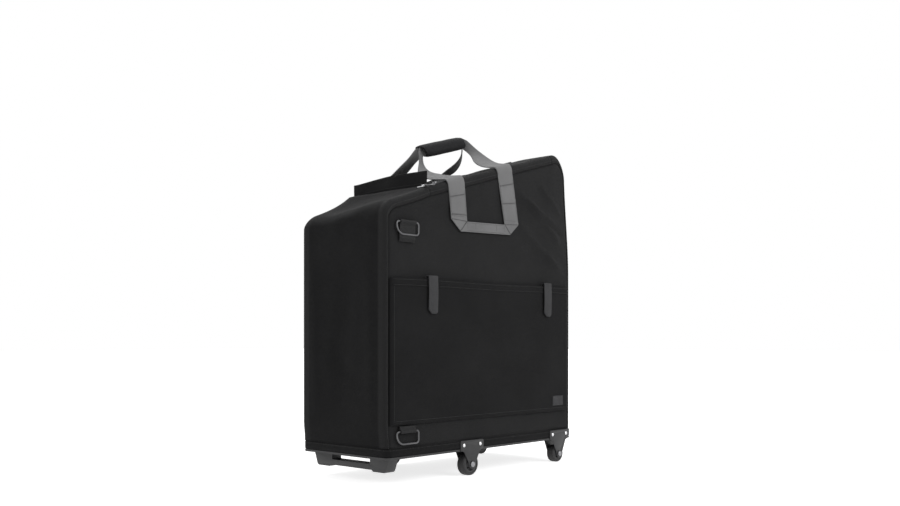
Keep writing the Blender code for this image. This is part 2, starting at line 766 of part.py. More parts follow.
def leg_stations(side, way, foot_x, edge_x, over, sweep):
    """(inner edge, outer edge) stations of one leg of a strap, from the sewn bar to the wrap.

    The leg lies flat on the panel up to the top seam, then runs freely over the rounded edge and
    turns as it narrows into the wrap, where it stands on edge.
    """
    skin = side * (HALF_WIDTH + GAP + WEB_THICK / 2)
    foot = Vector((foot_x, skin, bar_height(foot_x) + LEG_START))
    edge = Vector((edge_x, skin, top_line(edge_x, 1) + LEG_PAST_SEAM))
    half = way * WEB_WIDTH / 2
    level, sloped = Vector((half, 0, 0)), Vector((half, 0, half * TOP_TAN))
    stations = []
    for share in LEG_PANEL_shares:
        centre, reach = foot.lerp(edge, share), level.lerp(sloped, share)
        stations.append((centre - reach, centre + reach))

    run_end = grip_point(side, way)
    first = edge + (edge - foot).normalized() * over
    last = run_end + ALONG * way * sweep
    upright = ABOVE * RUN_WIDTH / 2
    for step in range(1, LEG_STEPS):
        t = step / LEG_STEPS
        near, far = 1 - t, t
        centre = (edge * near ** 3 + first * 3 * near ** 2 * far + last * 3 * near * far ** 2
                  + run_end * far ** 3)
        heading = ((first - edge) * near ** 2 + (last - first) * 2 * near * far
                   + (run_end - last) * far ** 2).normalized()
        ease = far ** 2 * (3 - 2 * far)
        reach = sloped.lerp(upright, ease)
        width = reach.length
        reach = (reach - heading * reach.dot(heading)).normalized() * width
        stations.append((centre - reach, centre + reach))
    return stations


def bar_height(x):
    """Upper edge of the sewn bar, which climbs towards the tall end."""
    share = (x - LOW_LEG_FOOT_X) / (TALL_LEG_FOOT_X - LOW_LEG_FOOT_X)
    return BAR_HIGH + BAR_RISE * share


def grip_point(side, share):
    """Middle of a strap inside the wrap, at a share of half the run from the wrap's middle."""
    grip = Vector((GRIP_X, side * RUN_OFFSET, GRIP_Z))
    return grip + ALONG * (GRIP_LENGTH / 2 + RUN_PAST) * share


def strap_stations(side):
    """A whole strap's closed loop, for the front (-1) or the rear (1)."""
    low_leg = leg_stations(side, -1, LOW_LEG_FOOT_X, LOW_LEG_EDGE_X, LOW_LEG_OVER, LOW_LEG_SWEEP)
    tall_leg = leg_stations(side, 1, TALL_LEG_FOOT_X, TALL_LEG_EDGE_X, TALL_LEG_OVER,
                            TALL_LEG_SWEEP)
    skin = side * (HALF_WIDTH + GAP + WEB_THICK / 2)
    inner = [LOW_LEG_FOOT_X + WEB_WIDTH / 2, TALL_LEG_FOOT_X - WEB_WIDTH / 2]
    outer = [LOW_LEG_FOOT_X - WEB_WIDTH / 2 + MITRE, TALL_LEG_FOOT_X + WEB_WIDTH / 2 - MITRE]
    bar = []
    for share in BAR_shares:
        high_x = inner[0] + (inner[1] - inner[0]) * share
        low_x = outer[0] + (outer[1] - outer[0]) * share
        bar.append((Vector((high_x, skin, bar_height(high_x))),
                    Vector((low_x, skin, bar_height(low_x) - BAR_WIDTH))))
    reach = ABOVE * RUN_WIDTH / 2
    run = [(grip_point(side, share) - reach, grip_point(side, share) + reach)
           for share in RUN_shares]
    return list(reversed(low_leg)) + bar + tall_leg + run


def build_handles():
    for name, side in (("front", -1), ("rear", 1)):
        ribbon(name + "_handle_strap", strap_stations(side), "webbing")

    def build(shape):
        bmesh.ops.create_cone(shape, cap_ends=True, segments=TURN_STEPS, radius1=0.5, radius2=0.5,
                              depth=1)
        bmesh.ops.scale(shape, vec=(GRIP_HIGH, GRIP_WIDE, GRIP_LENGTH), verts=shape.verts)

    wrap = place(mesh_from("handle_wrap", build), "handle_wrap", "grip_fabric")
    turn = Matrix.Rotation(math.pi / 2 - TOP_SLOPE, 4, "Y")
    wrap.matrix_world = Matrix.Translation((GRIP_X, 0, GRIP_Z)) @ turn
    add_bevel(wrap, GRIP_ROUND, 2)
    high = RUN_WIDTH / 2 + RUN_CLEAR
    wide = RUN_OFFSET + WEB_THICK / 2 + RUN_CLEAR
    slot = box("grip_slot", (-high, -wide, -GRIP_LENGTH / 2 - CUT),
               (high, wide, GRIP_LENGTH / 2 + CUT))
    slot.matrix_world = wrap.matrix_world.copy()
    combine(wrap, [slot], "DIFFERENCE")


def fork_outline(top, top_half, bolt_z, plate_high=None):
    """Side view of a caster's cheek round its bolt, in X from the bolt and Z."""
    turns = [math.pi + math.pi * step / 10 for step in range(11)]
    foot = [(FORK_END_RADIUS * math.cos(t), bolt_z + FORK_END_RADIUS * math.sin(t)) for t in turns]
    if plate_high is None:
        return [(-top_half, top), *foot, (top_half, top)]
    half = PLATE_WIDTH / 2
    low = BASE_HEIGHT - PLATE_BELOW
    plate = [(top_half, low), (half, low + PLATE_RISE), (half, plate_high), (-half, plate_high),
             (-half, low + PLATE_RISE), (-top_half, low)]
    return foot + rounded(plate, [PLATE_CORNER] * 4, 3)


def build_caster(which, side_name, side):
    """A fixed wheel: a bent steel bracket, its wheel and the holes for its fasteners."""
    x = CASTER_XS[which]
    radius = WHEEL_RADII[which]
    name = which + "_" + side_name
    face = BASE_WIDTH / 2 + GAP
    out_low, out_high = face, face + STEEL
    wheel_y = face - WHEEL_SIDE_CLEAR - WHEEL_WIDTH / 2
    in_high = face - 2 * WHEEL_SIDE_CLEAR - WHEEL_WIDTH
    in_low = in_high - STEEL
    top = BASE_HEIGHT - GAP

    def across(low, high):
        return sorted((side * low, side * high))

    def moved(loop):
        return [(x + a, b) for a, b in loop]

    rivet_z = BASE_HEIGHT + RIVET_Z_ABOVE
    bore = ring_of_points(x, radius, AXLE_RADIUS + AXLE_CLEAR, TURN_STEPS)
    rivet_holes = [ring_of_points(x + way * RIVET_SPACING / 2, rivet_z, RIVET_RADIUS + GAP, 12)
                   for way in (-1, 1)]
    outer = moved(fork_outline(top, FORK_HALF_WIDTH, radius, BASE_HEIGHT + PLATE_ABOVE))
    inner = moved(fork_outline(top - STEEL / 2, FORK_HALF_WIDTH, radius))
    bracket = as_mesh(outline_plate(name + "_bracket", [outer, bore, *rivet_holes],
                                    *across(out_low, out_high), "black_steel"))
    cheek = as_mesh(outline_plate(name + "_cheek", [inner, bore], *across(in_low, in_high)))
    ys = across(in_low + STEEL / 2, out_low + STEEL / 2)
    bridge = box(name + "_bridge", (x - FORK_HALF_WIDTH + STEEL, ys[0], top - STEEL),
                 (x + FORK_HALF_WIDTH - STEEL, ys[1], top))
    combine(bracket, [cheek, bridge], "UNION")

    centre = Vector((x, side * wheel_y, radius))
    flat = Matrix.Rotation(math.pi / 2, 4, "X")
    hub_radius = radius - TYRE_DEPTH
    half, edge = WHEEL_WIDTH / 2, TREAD_ROUND
    slope = TREAD_ROUND * 0.3
    tread = [(hub_radius + GAP, half), (radius - edge, half), (radius - slope, half - slope),
             (radius, half - edge), (radius, edge - half), (radius - slope, slope - half),
             (radius - edge, -half), (hub_radius + GAP, -half)]
    tyre = turned(name + "_tyre", tread, "tyre_rubber")
    tyre.matrix_world = Matrix.Translation(centre) @ flat

    bore, half, web = AXLE_RADIUS + AXLE_CLEAR, HUB_WIDTH / 2, HUB_WEB / 2
    side_face = [(bore, half), (HUB_BOSS, half), (HUB_BOSS, web), (hub_radius - HUB_RIM, web),
                 (hub_radius - HUB_RIM, half), (hub_radius, half)]
    profile = side_face + [(r, -z) for r, z in reversed(side_face)]
    hub = turned(name + "_hub", profile, "hub_plastic")
    hub.matrix_world = Matrix.Translation(centre) @ flat
    build_fasteners(name, x, radius, side, out_high, in_low, rivet_z)


def build_fasteners(name, x, z, side, out_high, in_low, rivet_z):
    """The axle bolt with its nut, and the two rivets of one bracket."""
    outward = Matrix.Rotation(-side * math.pi / 2, 4, "X")
    head, crown = BOLT_HEAD_RADIUS, BOLT_HEAD_THICK / 2
    start, end = out_high + GAP, in_low - GAP
    length = start - end + NUT_THICK + BOLT_PROUD
    profile = [(0, BOLT_HEAD_THICK), (head - crown, BOLT_HEAD_THICK), (head, crown), (head, 0),
               (AXLE_RADIUS, 0), (AXLE_RADIUS, -length), (0, -length)]
    bolt = turned(name + "_axle_bolt", profile, "bright_steel", 16)
    bolt.matrix_world = Matrix.Translation((x, side * start, z)) @ outward
    bolt = as_mesh(bolt)
    nut = rod(name + "_nut", NUT_RADIUS, (x, side * end, z), (x, side * (end - NUT_THICK), z),
              sides=6)
    combine(bolt, [nut], "UNION")

    head, crown = RIVET_HEAD_RADIUS, RIVET_HEAD_THICK * 0.8
    profile = [(0, RIVET_HEAD_THICK), (head / 2, crown), (head, 0), (RIVET_RADIUS, 0),
               (RIVET_RADIUS, -STEEL), (0, -STEEL)]
    for end_name, way in (("low", -1), ("tall", 1)):
        rivet = turned(f"{name}_rivet_{end_name}", profile, "bright_steel", 12)
        at = (x + way * RIVET_SPACING / 2, side * start, rivet_z)
        rivet.matrix_world = Matrix.Translation(at) @ outward


def build_casters():
    for which in CASTER_XS:
        for side_name, side in (("front", -1), ("rear", 1)):
            build_caster(which, side_name, side)


def build_lift_foot():
    """A moulded foot under the low end that is also the lifting handle."""
    top, low = BASE_HEIGHT - GAP, BASE_HEIGHT - FOOT_DROP
    wide, narrow = FOOT_HALF_WIDTH, FOOT_HALF_WIDTH - FOOT_TAPER
    lobe, bar = FOOT_BAR_HALF + FOOT_BAR_RISE, low + FOOT_BAR_RISE
    half = [(FOOT_BAR_HALF, bar), (lobe, low), (narrow, low), (wide, top)]
    radii = [GAP, GAP, FOOT_CORNER, GAP]
    outer = rounded_loop([(-y, z) for y, z in reversed(half)] + half, radii[::-1] + radii,
                         CORNER_STEPS)
    gap_low, gap_high = BASE_HEIGHT - FOOT_OPENING_DROP, top - FOOT_OPENING_CORNER / 2
    span = FOOT_OPENING_HALF
    opening = rounded_loop([(-span, gap_high), (-span, gap_low), (span, gap_low),
                            (span, gap_high)], [FOOT_OPENING_CORNER / 2] * 4, CORNER_STEPS)
    foot = as_mesh(outline_plate("lift_foot", [outer, opening], FOOT_X - FOOT_THICK / 2,
                                 FOOT_X + FOOT_THICK / 2, "foot_plastic", "X"))
    cuts = []
    sink = low + SCREW_SINK
    for side_name, side in (("front", -1), ("rear", 1)):
        y = side * narrow * FOOT_SCREW_SIDE_share
        cuts.append(rod("screw_sink", SCREW_HEAD_RADIUS + GAP, (FOOT_X, y, low - CUT),
                        (FOOT_X, y, sink), sides=16))
        cuts.append(rod("screw_bore", SCREW_RADIUS + GAP, (FOOT_X, y, sink - CUT),
                        (FOOT_X, y, top + CUT), sides=12))
        reach = top - sink
        profile = [(0, reach), (SCREW_RADIUS, reach), (SCREW_RADIUS, -GAP),
                   (SCREW_HEAD_RADIUS, -GAP), (SCREW_HEAD_RADIUS, -GAP - SCREW_HEAD_THICK),
                   (0, -GAP - SCREW_HEAD_THICK)]
        screw = turned(f"foot_screw_{side_name}", profile, "black_steel", 12)
        screw.location = (FOOT_X, y, sink)
    combine(foot, cuts, "DIFFERENCE")


def main():
    global PARTS, CUTTERS
    clear_scene()
    PARTS = make_collection("soft_bike_travel_bag")
    CUTTERS = make_collection("cutters")
    build_base()
    build_panels()
    build_zip()
    build_lid()
    build_flap()
    build_sliders()
    build_pocket()
    build_pocket_tabs()
    build_ring("upper_d_ring", RING_UPPER_Z, -RING_TAB_DROP)
    build_ring("lower_d_ring", RING_LOWER_Z, RING_TAB_RISE)
    build_handles()
    build_casters()
    build_lift_foot()

    lid_axis = (LID_HINGE_X, 0, top_line(LID_HINGE_X))
    hang("lid_axis", lid_axis, ("lid_panel", "lid_zip_teeth", "port_collar"))
    hang("flap_axis", flap_foot(), ("rain_flap",), "lid_axis")
    tab_z = POCKET_HIGH + TAB_ROOT_RISE - TAB_THICK / 2
    tab_y = PANEL_FACE - 2 * GAP - TAB_ROOT_REACH - TAB_THICK / 2
    for name, x in zip(("left", "right"), TAB_XS):
        hang(name + "_tab_axis", (x, tab_y, tab_z), ("pocket_tab_" + name,))


main()
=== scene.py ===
# Soft travel bag for a folded bicycle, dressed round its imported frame. Metres, +Z up,
# the pocket side faces -Y and the low end is at -X.
import math

import bmesh
import bpy
from mathutils import Matrix, Vector, noise


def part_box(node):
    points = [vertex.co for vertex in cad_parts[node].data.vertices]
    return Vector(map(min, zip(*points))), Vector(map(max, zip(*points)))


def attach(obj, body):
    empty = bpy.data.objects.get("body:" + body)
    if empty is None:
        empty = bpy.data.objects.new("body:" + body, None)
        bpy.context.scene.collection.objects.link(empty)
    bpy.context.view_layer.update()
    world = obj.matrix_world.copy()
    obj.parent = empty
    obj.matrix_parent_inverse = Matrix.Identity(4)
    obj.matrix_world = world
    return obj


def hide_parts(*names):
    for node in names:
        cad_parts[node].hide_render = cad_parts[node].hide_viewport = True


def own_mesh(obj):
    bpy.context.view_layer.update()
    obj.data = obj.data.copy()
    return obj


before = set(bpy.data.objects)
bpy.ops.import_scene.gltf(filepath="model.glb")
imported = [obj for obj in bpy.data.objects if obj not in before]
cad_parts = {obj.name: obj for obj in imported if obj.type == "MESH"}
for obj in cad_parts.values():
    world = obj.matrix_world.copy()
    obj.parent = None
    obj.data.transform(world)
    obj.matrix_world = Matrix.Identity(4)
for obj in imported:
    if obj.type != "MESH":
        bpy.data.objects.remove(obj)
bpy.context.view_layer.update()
scene = bpy.context.scene
print("frame loaded,", len(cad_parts), "nodes")

# the bag's shape, its CAD model's but for a low end that stands 3 mm farther out
bag = {
    "left": -0.353, "right": 0.345, "half": 0.1455, "low": 0.0876, "seam": 1.13,
    "topMid": 0.750, "slope": math.radians(15.9), "gap": 0.0003,
    "edgeAlong": 0.014, "edgeEnd": 0.0065, "edgeTop": 0.020,
    "lowCorner": 0.046, "tallCorner": 0.056,
    "zipX": -0.208, "zipY": 0.128, "hingeX": 0.262, "shoulderX": -0.21145,
}
slopeTan = math.tan(bag["slope"])
slopeSin, slopeCos = math.sin(bag["slope"]), math.cos(bag["slope"])
along = Vector((slopeCos, 0, slopeSin))       # up the slanted top
above = Vector((-slopeSin, 0, slopeCos))      # straight out of it
toFront, toLow = Vector((0, -1, 0)), Vector((-1, 0, 0))


def addObject(name, data):
    made = bpy.data.objects.new(name, data)
    scene.collection.objects.link(made)
    return made


def meshFrom(name, bm):
    data = bpy.data.meshes.new(name)
    bm.to_mesh(data)
    bm.free()
    data.shade_smooth()
    return data


# ---- camera, floor and lights
view = {"at": (-1.881, -1.733, 0.339), "turn": math.radians(-47.62), "lens": 39.54,
        "sensor": 36, "shiftUp": 0.0928}
light = {
    "world": 0.46, "floorSize": 40, "aim": Vector((0, 0, 0.42)),
    "lamps": (
        ("rightSoftbox", (0.6, -2.7, 1.9), 1.9, 38),
        ("leftSoftbox", (-2.7, -0.7, 1.6), 1.6, 15),
        ("topSoftbox", (0.1, 0.5, 2.9), 1.7, 26),
    ),
}
# the floor seems nearly white to the camera, a little darker near the bag
floorLook = {"tones": ((0.80, 0.80, 0.80), (0.83, 0.83, 0.83)), "toneScale": 1.5,
             "roughness": 0.9, "far": (0.5, 2.5), "shine": (0.74, 1.0)}


def setCamera():
    eye = bpy.data.cameras.new("photoCamera")
    eye.lens, eye.sensor_width, eye.shift_y = view["lens"], view["sensor"], view["shiftUp"]
    holder = addObject("photoCamera", eye)
    holder.location = view["at"]
    holder.rotation_euler = (math.pi / 2, 0, view["turn"])
    scene.camera = holder
    scene.view_settings.view_transform = "Standard"


def setStudio():
    for name, at, size, power in light["lamps"]:
        lamp = bpy.data.lights.new(name, "AREA")
        lamp.shape, lamp.size, lamp.energy = "DISK", size, power
        holder = addObject(name, lamp)
        holder.location = at
        holder.rotation_euler = (light["aim"] - Vector(at)).to_track_quat("-Z", "Y").to_euler()

    world = bpy.data.worlds.new("paleRoom")
    scene.world = world
    world.use_nodes = True
    tree = world.node_tree
    back = tree.nodes["Background"].inputs
    back["Color"].default_value = (1, 1, 1, 1)
    level = calc(tree, "MULTIPLY_ADD", lookedAt(tree), 1 - light["world"], light["world"])
    tree.links.new(level, back["Strength"])

    bm = bmesh.new()
    bmesh.ops.create_grid(bm, x_segments=16, y_segments=16, size=light["floorSize"] / 2)
    floor = addObject("paleFloor", meshFrom("paleFloor", bm))
    floor.data.materials.append(floorPaint())


# ---- small node helpers
def feed(tree, socket, value):
    # a number or a colour goes on the socket itself, and an output is linked to it
    if isinstance(value, tuple):
        socket.default_value = (*value, 1)
    elif isinstance(value, (int, float)):
        socket.default_value = value
    else:
        tree.links.new(value, socket)


def calc(tree, operation, *values):
    made = tree.nodes.new("ShaderNodeMath")
    made.operation = operation
    for socket, value in zip(made.inputs, values):
        feed(tree, socket, value)
    return made.outputs[0]


def ranged(tree, value, start=(0, 1), stop=(0, 1)):
    # takes the two values of start to those of stop
    made = tree.nodes.new("ShaderNodeMapRange")
    for label, number in zip(("From Min", "From Max", "To Min", "To Max"), (*start, *stop)):
        made.inputs[label].default_value = number
    tree.links.new(value, made.inputs["Value"])
    return made.outputs[0]


def splitUp(tree, vector):
    made = tree.nodes.new("ShaderNodeSeparateXYZ")
    tree.links.new(vector, made.inputs[0])
    return made.outputs


def lookedAt(tree):
    # 1 for what the camera sees, also in a mirror or through something
    path = tree.nodes.new("ShaderNodeLightPath").outputs
    seen = calc(tree, "MAXIMUM", path["Is Camera Ray"], path["Is Glossy Ray"])
    return calc(tree, "MAXIMUM", seen, path["Is Transmission Ray"])


def noiseNode(tree, vector, scale, detail, roughness=0.55):
    made = tree.nodes.new("ShaderNodeTexNoise")
    for label, value in (("Vector", vector), ("Scale", scale), ("Detail", detail),
                         ("Roughness", roughness)):
        feed(tree, made.inputs[label], value)
    return made.outputs["Fac"]


def mixColour(tree, share, first, second):
    made = tree.nodes.new("ShaderNodeMix")
    made.data_type = "RGBA"
    for index, value in ((0, share), (6, first), (7, second)):
        feed(tree, made.inputs[index], value)
    return made.outputs[2]


def newGroup(name, inputs, outputs):
    # a shader node group with a vector, named numbers in and named numbers out
    group = bpy.data.node_groups.new(name, "ShaderNodeTree")
    sockets = [("Vector", "INPUT", "NodeSocketVector")]
    sockets += [(label, "INPUT", "NodeSocketFloat") for label in inputs]
    sockets += [(label, "OUTPUT", "NodeSocketFloat") for label in outputs]
    for label, way, kind in sockets:
        group.interface.new_socket(label, in_out=way, socket_type=kind)
    start, end = group.nodes.new("NodeGroupInput"), group.nodes.new("NodeGroupOutput")
    return group, start.outputs, end.inputs


def makeWeaveGroup():
    # plain weave: threads of both directions pass over each other by turns
    group, given, out = newGroup("plainWeave", ("Threads",), ("Height",))
    split = splitUp(group, given["Vector"])
    turn = calc(group, "MULTIPLY", given["Threads"], math.pi)
    warp, weft = (calc(group, "SINE", calc(group, "MULTIPLY", split[axis], turn))
                  for axis in (0, 1))
    over = calc(group, "GREATER_THAN", calc(group, "MULTIPLY", warp, weft), 0)
    warpHeight = calc(group, "MULTIPLY", calc(group, "ABSOLUTE", warp), over)
    under = calc(group, "SUBTRACT", 1, over)
    height = calc(group, "MULTIPLY_ADD", calc(group, "ABSOLUTE", weft), under, warpHeight)
    group.links.new(height, out["Height"])
    return group


def makeTwillGroup():
    # webbing: chevron ribs that run along the band, x across and y along it
    group, given, out = newGroup("chevronRibs", ("Threads", "Chevrons"), ("Height",))
    across, length, _ = splitUp(group, given["Vector"])
    zigzag = calc(group, "PINGPONG", calc(group, "MULTIPLY", across, given["Chevrons"]), 1)
    lift = calc(group, "MULTIPLY_ADD", length, given["Threads"],
                calc(group, "MULTIPLY", zigzag, 3))
    rows = calc(group, "MULTIPLY", across, given["Threads"])
    ribs, fine = (calc(group, "ABSOLUTE", calc(group, "SINE",
                                               calc(group, "MULTIPLY", turns, math.pi)))
                  for turns in (lift, rows))
    height = calc(group, "MULTIPLY_ADD", fine, 0.35, calc(group, "MULTIPLY", ribs, 0.65))
    group.links.new(height, out["Height"])
    return group


def makeDustGroup():
    # slow clouding of the colour and fine specks, both from 0 to 1
    group, given, out = newGroup("dustAndFade", ("Scale",), ("Cloud", "Speck"))
    cloud = noiseNode(group, given["Vector"], given["Scale"], 4)
    fine = calc(group, "MULTIPLY", given["Scale"], 45)
    speck = noiseNode(group, given["Vector"], fine, 2, 0.7)
    for label, value in (("Cloud", cloud), ("Speck", speck)):
        group.links.new(ranged(group, value, (0.32, 0.68)), out[label])
    return group


weaveGroup, twillGroup, dustGroup = makeWeaveGroup(), makeTwillGroup(), makeDustGroup()


def useGroup(tree, group, vector, **values):
    made = tree.nodes.new("ShaderNodeGroup")
    made.node_tree = group
    tree.links.new(vector, made.inputs["Vector"])
    for label, value in values.items():
        made.inputs[label].default_value = value
    return made.outputs


# ---- materials: how much painted shade lies between the threads, and how rough and deep each skin is
clothLook = {"dust": 7, "shade": 0.55, "base": 0.4, "weave": 0.3, "sheenRough": 0.45,
             "depth": 0.0008, "strength": 0.55}
webbingLook = {"threads": 600, "chevrons": 160, "dust": 16, "shade": 0.62, "base": 0.3,
               "sheen": 0.05, "sheenRough": 0.4, "depth": 0.0004, "strength": 0.6}
hardLook = {"dust": 30, "detail": 2, "noiseRough": 0.6, "strength": 0.5}


def startPaint(name, values):
    paint = bpy.data.materials.new(name)
    paint.use_nodes = True
    tree = paint.node_tree
    shader = tree.nodes["Principled BSDF"]
    shader.inputs["Metallic"].default_value = values.get("metal", 0)
    shader.inputs["Specular IOR Level"].default_value = values.get("specular", 0.5)
    return paint, tree, shader.inputs, tree.nodes.new("ShaderNodeTexCoord").outputs


def setSurface(tree, shader, colour, speck, rough, height, look):
    # colour, a roughness that wanders between two values, and a bump
    tree.links.new(colour, shader["Base Color"])
    tree.links.new(ranged(tree, speck, stop=rough), shader["Roughness"])
    bump = tree.nodes.new("ShaderNodeBump")
    for label, value in (("Strength", look["strength"]), ("Distance", look["depth"]),
                         ("Height", height)):
        feed(tree, bump.inputs[label], value)
    tree.links.new(bump.outputs[0], shader["Normal"])


def threaded(tree, height, values, surfaceTone, shade, base):
    # the surface colour on the threads and a darker copy between them, a painted shade in the
    # weave's hollows
    deep = tuple(part * shade for part in values["colour"])
    return mixColour(tree, calc(tree, "MULTIPLY_ADD", height, 1 - base, base), deep, surfaceTone)


def clothPaint(name, values):
    # woven cloth on the piece's own UV, in metres
    look = clothLook
    values = {"specular": 0.16, "sheen": 0.03, "crinkle": 60, **values}
    paint, tree, shader, coords = startPaint(name, values)
    weave = useGroup(tree, weaveGroup, coords["UV"], Threads=values["threads"])["Height"]
    dust = useGroup(tree, dustGroup, coords["Object"], Scale=look["dust"])
    surfaceTone = mixColour(tree, dust["Cloud"], values["colour"], values["faded"])
    if "rubbed" in values:
        # painted highlight: the cloth is painted paler where it turns round the long seams and
        # faces the light
        aside = calc(tree, "ABSOLUTE", splitUp(tree, coords["Object"])["Y"])
        surfaceTone = mixColour(tree, ranged(tree, aside, values["band"]), surfaceTone, values["rubbed"])
    colour = threaded(tree, weave, values, surfaceTone, look["shade"], look["base"])
    crinkle = noiseNode(tree, coords["Object"], values["crinkle"], 4)
    height = calc(tree, "MULTIPLY_ADD", weave, look["weave"], crinkle)
    shader["Sheen Weight"].default_value = values["sheen"]
    shader["Sheen Roughness"].default_value = look["sheenRough"]
    setSurface(tree, shader, colour, dust["Speck"], values["rough"], height, look)
    return paint


def webbingPaint(name, values):
    # ribbed webbing, x of its UV runs across the band
    look = webbingLook
    paint, tree, shader, coords = startPaint(name, {"specular": 0.25, **values})
    ribs = useGroup(tree, twillGroup, coords["UV"], Threads=look["threads"],
                    Chevrons=look["chevrons"])["Height"]
    dust = useGroup(tree, dustGroup, coords["Object"], Scale=look["dust"])
    surfaceTone = mixColour(tree, dust["Cloud"], values["colour"], values["faded"])
    colour = threaded(tree, ribs, values, surfaceTone, look["shade"], look["base"])
    shader["Sheen Weight"].default_value = look["sheen"]
    shader["Sheen Roughness"].default_value = look["sheenRough"]
    setSurface(tree, shader, colour, dust["Speck"], values["rough"], ribs, look)
    return paint


def hardPaint(name, values):
    # moulded plastic, painted or plated metal and rubber
    values = {"grain": 900, "depth": 0.00015, **hardLook, **values}
    paint, tree, shader, coords = startPaint(name, values)
    dust = useGroup(tree, dustGroup, coords["Object"], Scale=values["dust"])
    colour = mixColour(tree, dust["Cloud"], values["colour"], values["faded"])
    grain = noiseNode(tree, coords["Object"], values["grain"], values["detail"],
                      values["noiseRough"])
    setSurface(tree, shader, colour, dust["Speck"], values["rough"], grain, values)
    return paint


def floorPaint():
    paint, tree, shader, coords = startPaint("paleFloor", {})
    tone = noiseNode(tree, coords["Object"], floorLook["toneScale"], 2)
    tree.links.new(mixColour(tree, tone, *floorLook["tones"]), shader["Base Color"])
    shader["Roughness"].default_value = floorLook["roughness"]
    shader["Emission Color"].default_value = (1, 1, 1, 1)
    far = tree.nodes.new("ShaderNodeVectorMath")
    far.operation = "LENGTH"
    tree.links.new(coords["Object"], far.inputs[0])
    spread = ranged(tree, far.outputs["Value"], floorLook["far"], floorLook["shine"])
    shine = calc(tree, "MULTIPLY", lookedAt(tree), spread)
    tree.links.new(shine, shader["Emission Strength"])
    return paint


# maker, material name, colour and faded colour as (red and green, blue), roughness, the rest
plain = {"threads": 1100}
polished = {"metal": 1, "grain": 1400, "depth": 0.00005}
plated = {"metal": 1, "grain": 1800, "depth": 0.00006}
paintTable = {
    "body": (clothPaint, "bodyFabric", (0.0135, 0.014), (0.019, 0.0195), (0.66, 0.84),
             {**plain, "sheen": 0.015, "specular": 0.10}),
    # painted shade: the pocket is the body's black cloth painted darker, for the shade on the lower
    # front
    "pocket": (clothPaint, "pocketFabric", (0.0082, 0.0086), (0.0125, 0.013), (0.66, 0.84),
               {**plain, "sheen": 0.012, "specular": 0.085}),
    # painted shade: the ends are the body's black cloth painted darker, for the shade on the end
    # that faces away from the key light
    "end": (clothPaint, "endFabric", (0.0058, 0.0062), (0.0092, 0.0096), (0.66, 0.84),
            {**plain, "sheen": 0.010, "specular": 0.095, "band": (0.117, 0.123),
             # painted highlight: the paler colour of the band where the end cloth turns round the
             # long seams
             "rubbed": (0.021, 0.021, 0.0215)}),
    "flap": (clothPaint, "flapFabric", (0.0080, 0.0084), (0.012, 0.0125), (0.66, 0.84),
             {**plain, "sheen": 0.012, "specular": 0.11}),
    "base": (clothPaint, "baseRim", (0.0050, 0.0053), (0.0080, 0.0084), (0.60, 0.80),
             {"threads": 700, "sheen": 0.010, "crinkle": 120, "specular": 0.10}),
    "lining": (clothPaint, "lining", (0.040, 0.042), (0.055, 0.058), (0.55, 0.75),
               {"threads": 900}),
    "grip": (clothPaint, "gripFabric", (0.016, 0.017), (0.024, 0.026), (0.70, 0.90),
             {"threads": 600, "sheen": 0.04}),
    "pad": (clothPaint, "padCover", (0.050, 0.053), (0.070, 0.074), (0.75, 0.92),
            {"threads": 500}),
    "label": (clothPaint, "barePatch", (0.030, 0.032), (0.050, 0.053), (0.45, 0.65),
              {"threads": 1500}),
    "tape": (clothPaint, "zipTape", (0.010, 0.011), (0.016, 0.017), (0.70, 0.85),
             {"threads": 1400}),
    "webbing": (webbingPaint, "greyWebbing", (0.172, 0.174), (0.209, 0.211), (0.62, 0.82), {}),
    "darkWebbing": (webbingPaint, "darkWebbing", (0.032, 0.034), (0.044, 0.046), (0.62, 0.82), {}),
    "ringWebbing": (webbingPaint, "blackWebbing", (0.008, 0.0085), (0.0125, 0.013),
                    (0.62, 0.82), {}),
    "thread": (hardPaint, "blackThread", (0.012, 0.012), (0.020, 0.020), (0.55, 0.75),
               {"grain": 2500}),
    "greyThread": (hardPaint, "greyThread", (0.040, 0.041), (0.060, 0.061), (0.5, 0.7),
                   {"grain": 2500}),
    # piping: partly a real cord, and partly painted shade, as it is painted darker than the cloth
    # to stand in for the shade in the grooves it lies in
    "piping": (hardPaint, "piping", (0.006, 0.006), (0.010, 0.010), (0.70, 0.85),
               {"grain": 700, "specular": 0.2}),
    "coil": (hardPaint, "zipCoil", (0.010, 0.011), (0.018, 0.019), (0.32, 0.50), {}),
    "nickel": (hardPaint, "nickel", (0.55, 0.56), (0.42, 0.43), (0.22, 0.42), plated),
    "darkNickel": (hardPaint, "darkNickel", (0.085, 0.088), (0.15, 0.155), (0.25, 0.45), plated),
    "ring": (hardPaint, "ringWire", (0.085, 0.088), (0.130, 0.134), (0.30, 0.48),
             {"metal": 0.9, "grain": 1500, "depth": 0.00006}),
    "blackSteel": (hardPaint, "blackSteel", (0.014, 0.015), (0.022, 0.023), (0.38, 0.58),
                   {"metal": 0.15, "grain": 1100}),
    "steel": (hardPaint, "brightSteel", (0.72, 0.73), (0.58, 0.59), (0.16, 0.36), polished),
    "bolt": (hardPaint, "platedBolt", (0.30, 0.31), (0.20, 0.21), (0.25, 0.45), polished),
    "tyre": (hardPaint, "tyreRubber", (0.014, 0.015), (0.026, 0.025, 0.025), (0.55, 0.80),
             {"grain": 500, "depth": 0.0003}),
    "hub": (hardPaint, "hubPlastic", (0.026, 0.028), (0.036, 0.038), (0.35, 0.52),
            {"grain": 800}),
    "foot": (hardPaint, "footPlastic", (0.015, 0.016), (0.021, 0.022), (0.42, 0.60),
             {"grain": 650, "depth": 0.0003}),
    "board": (hardPaint, "baseBoard", (0.014, 0.015), (0.022, 0.023), (0.50, 0.70),
              {"grain": 300, "depth": 0.0004}),
}
paints = {}
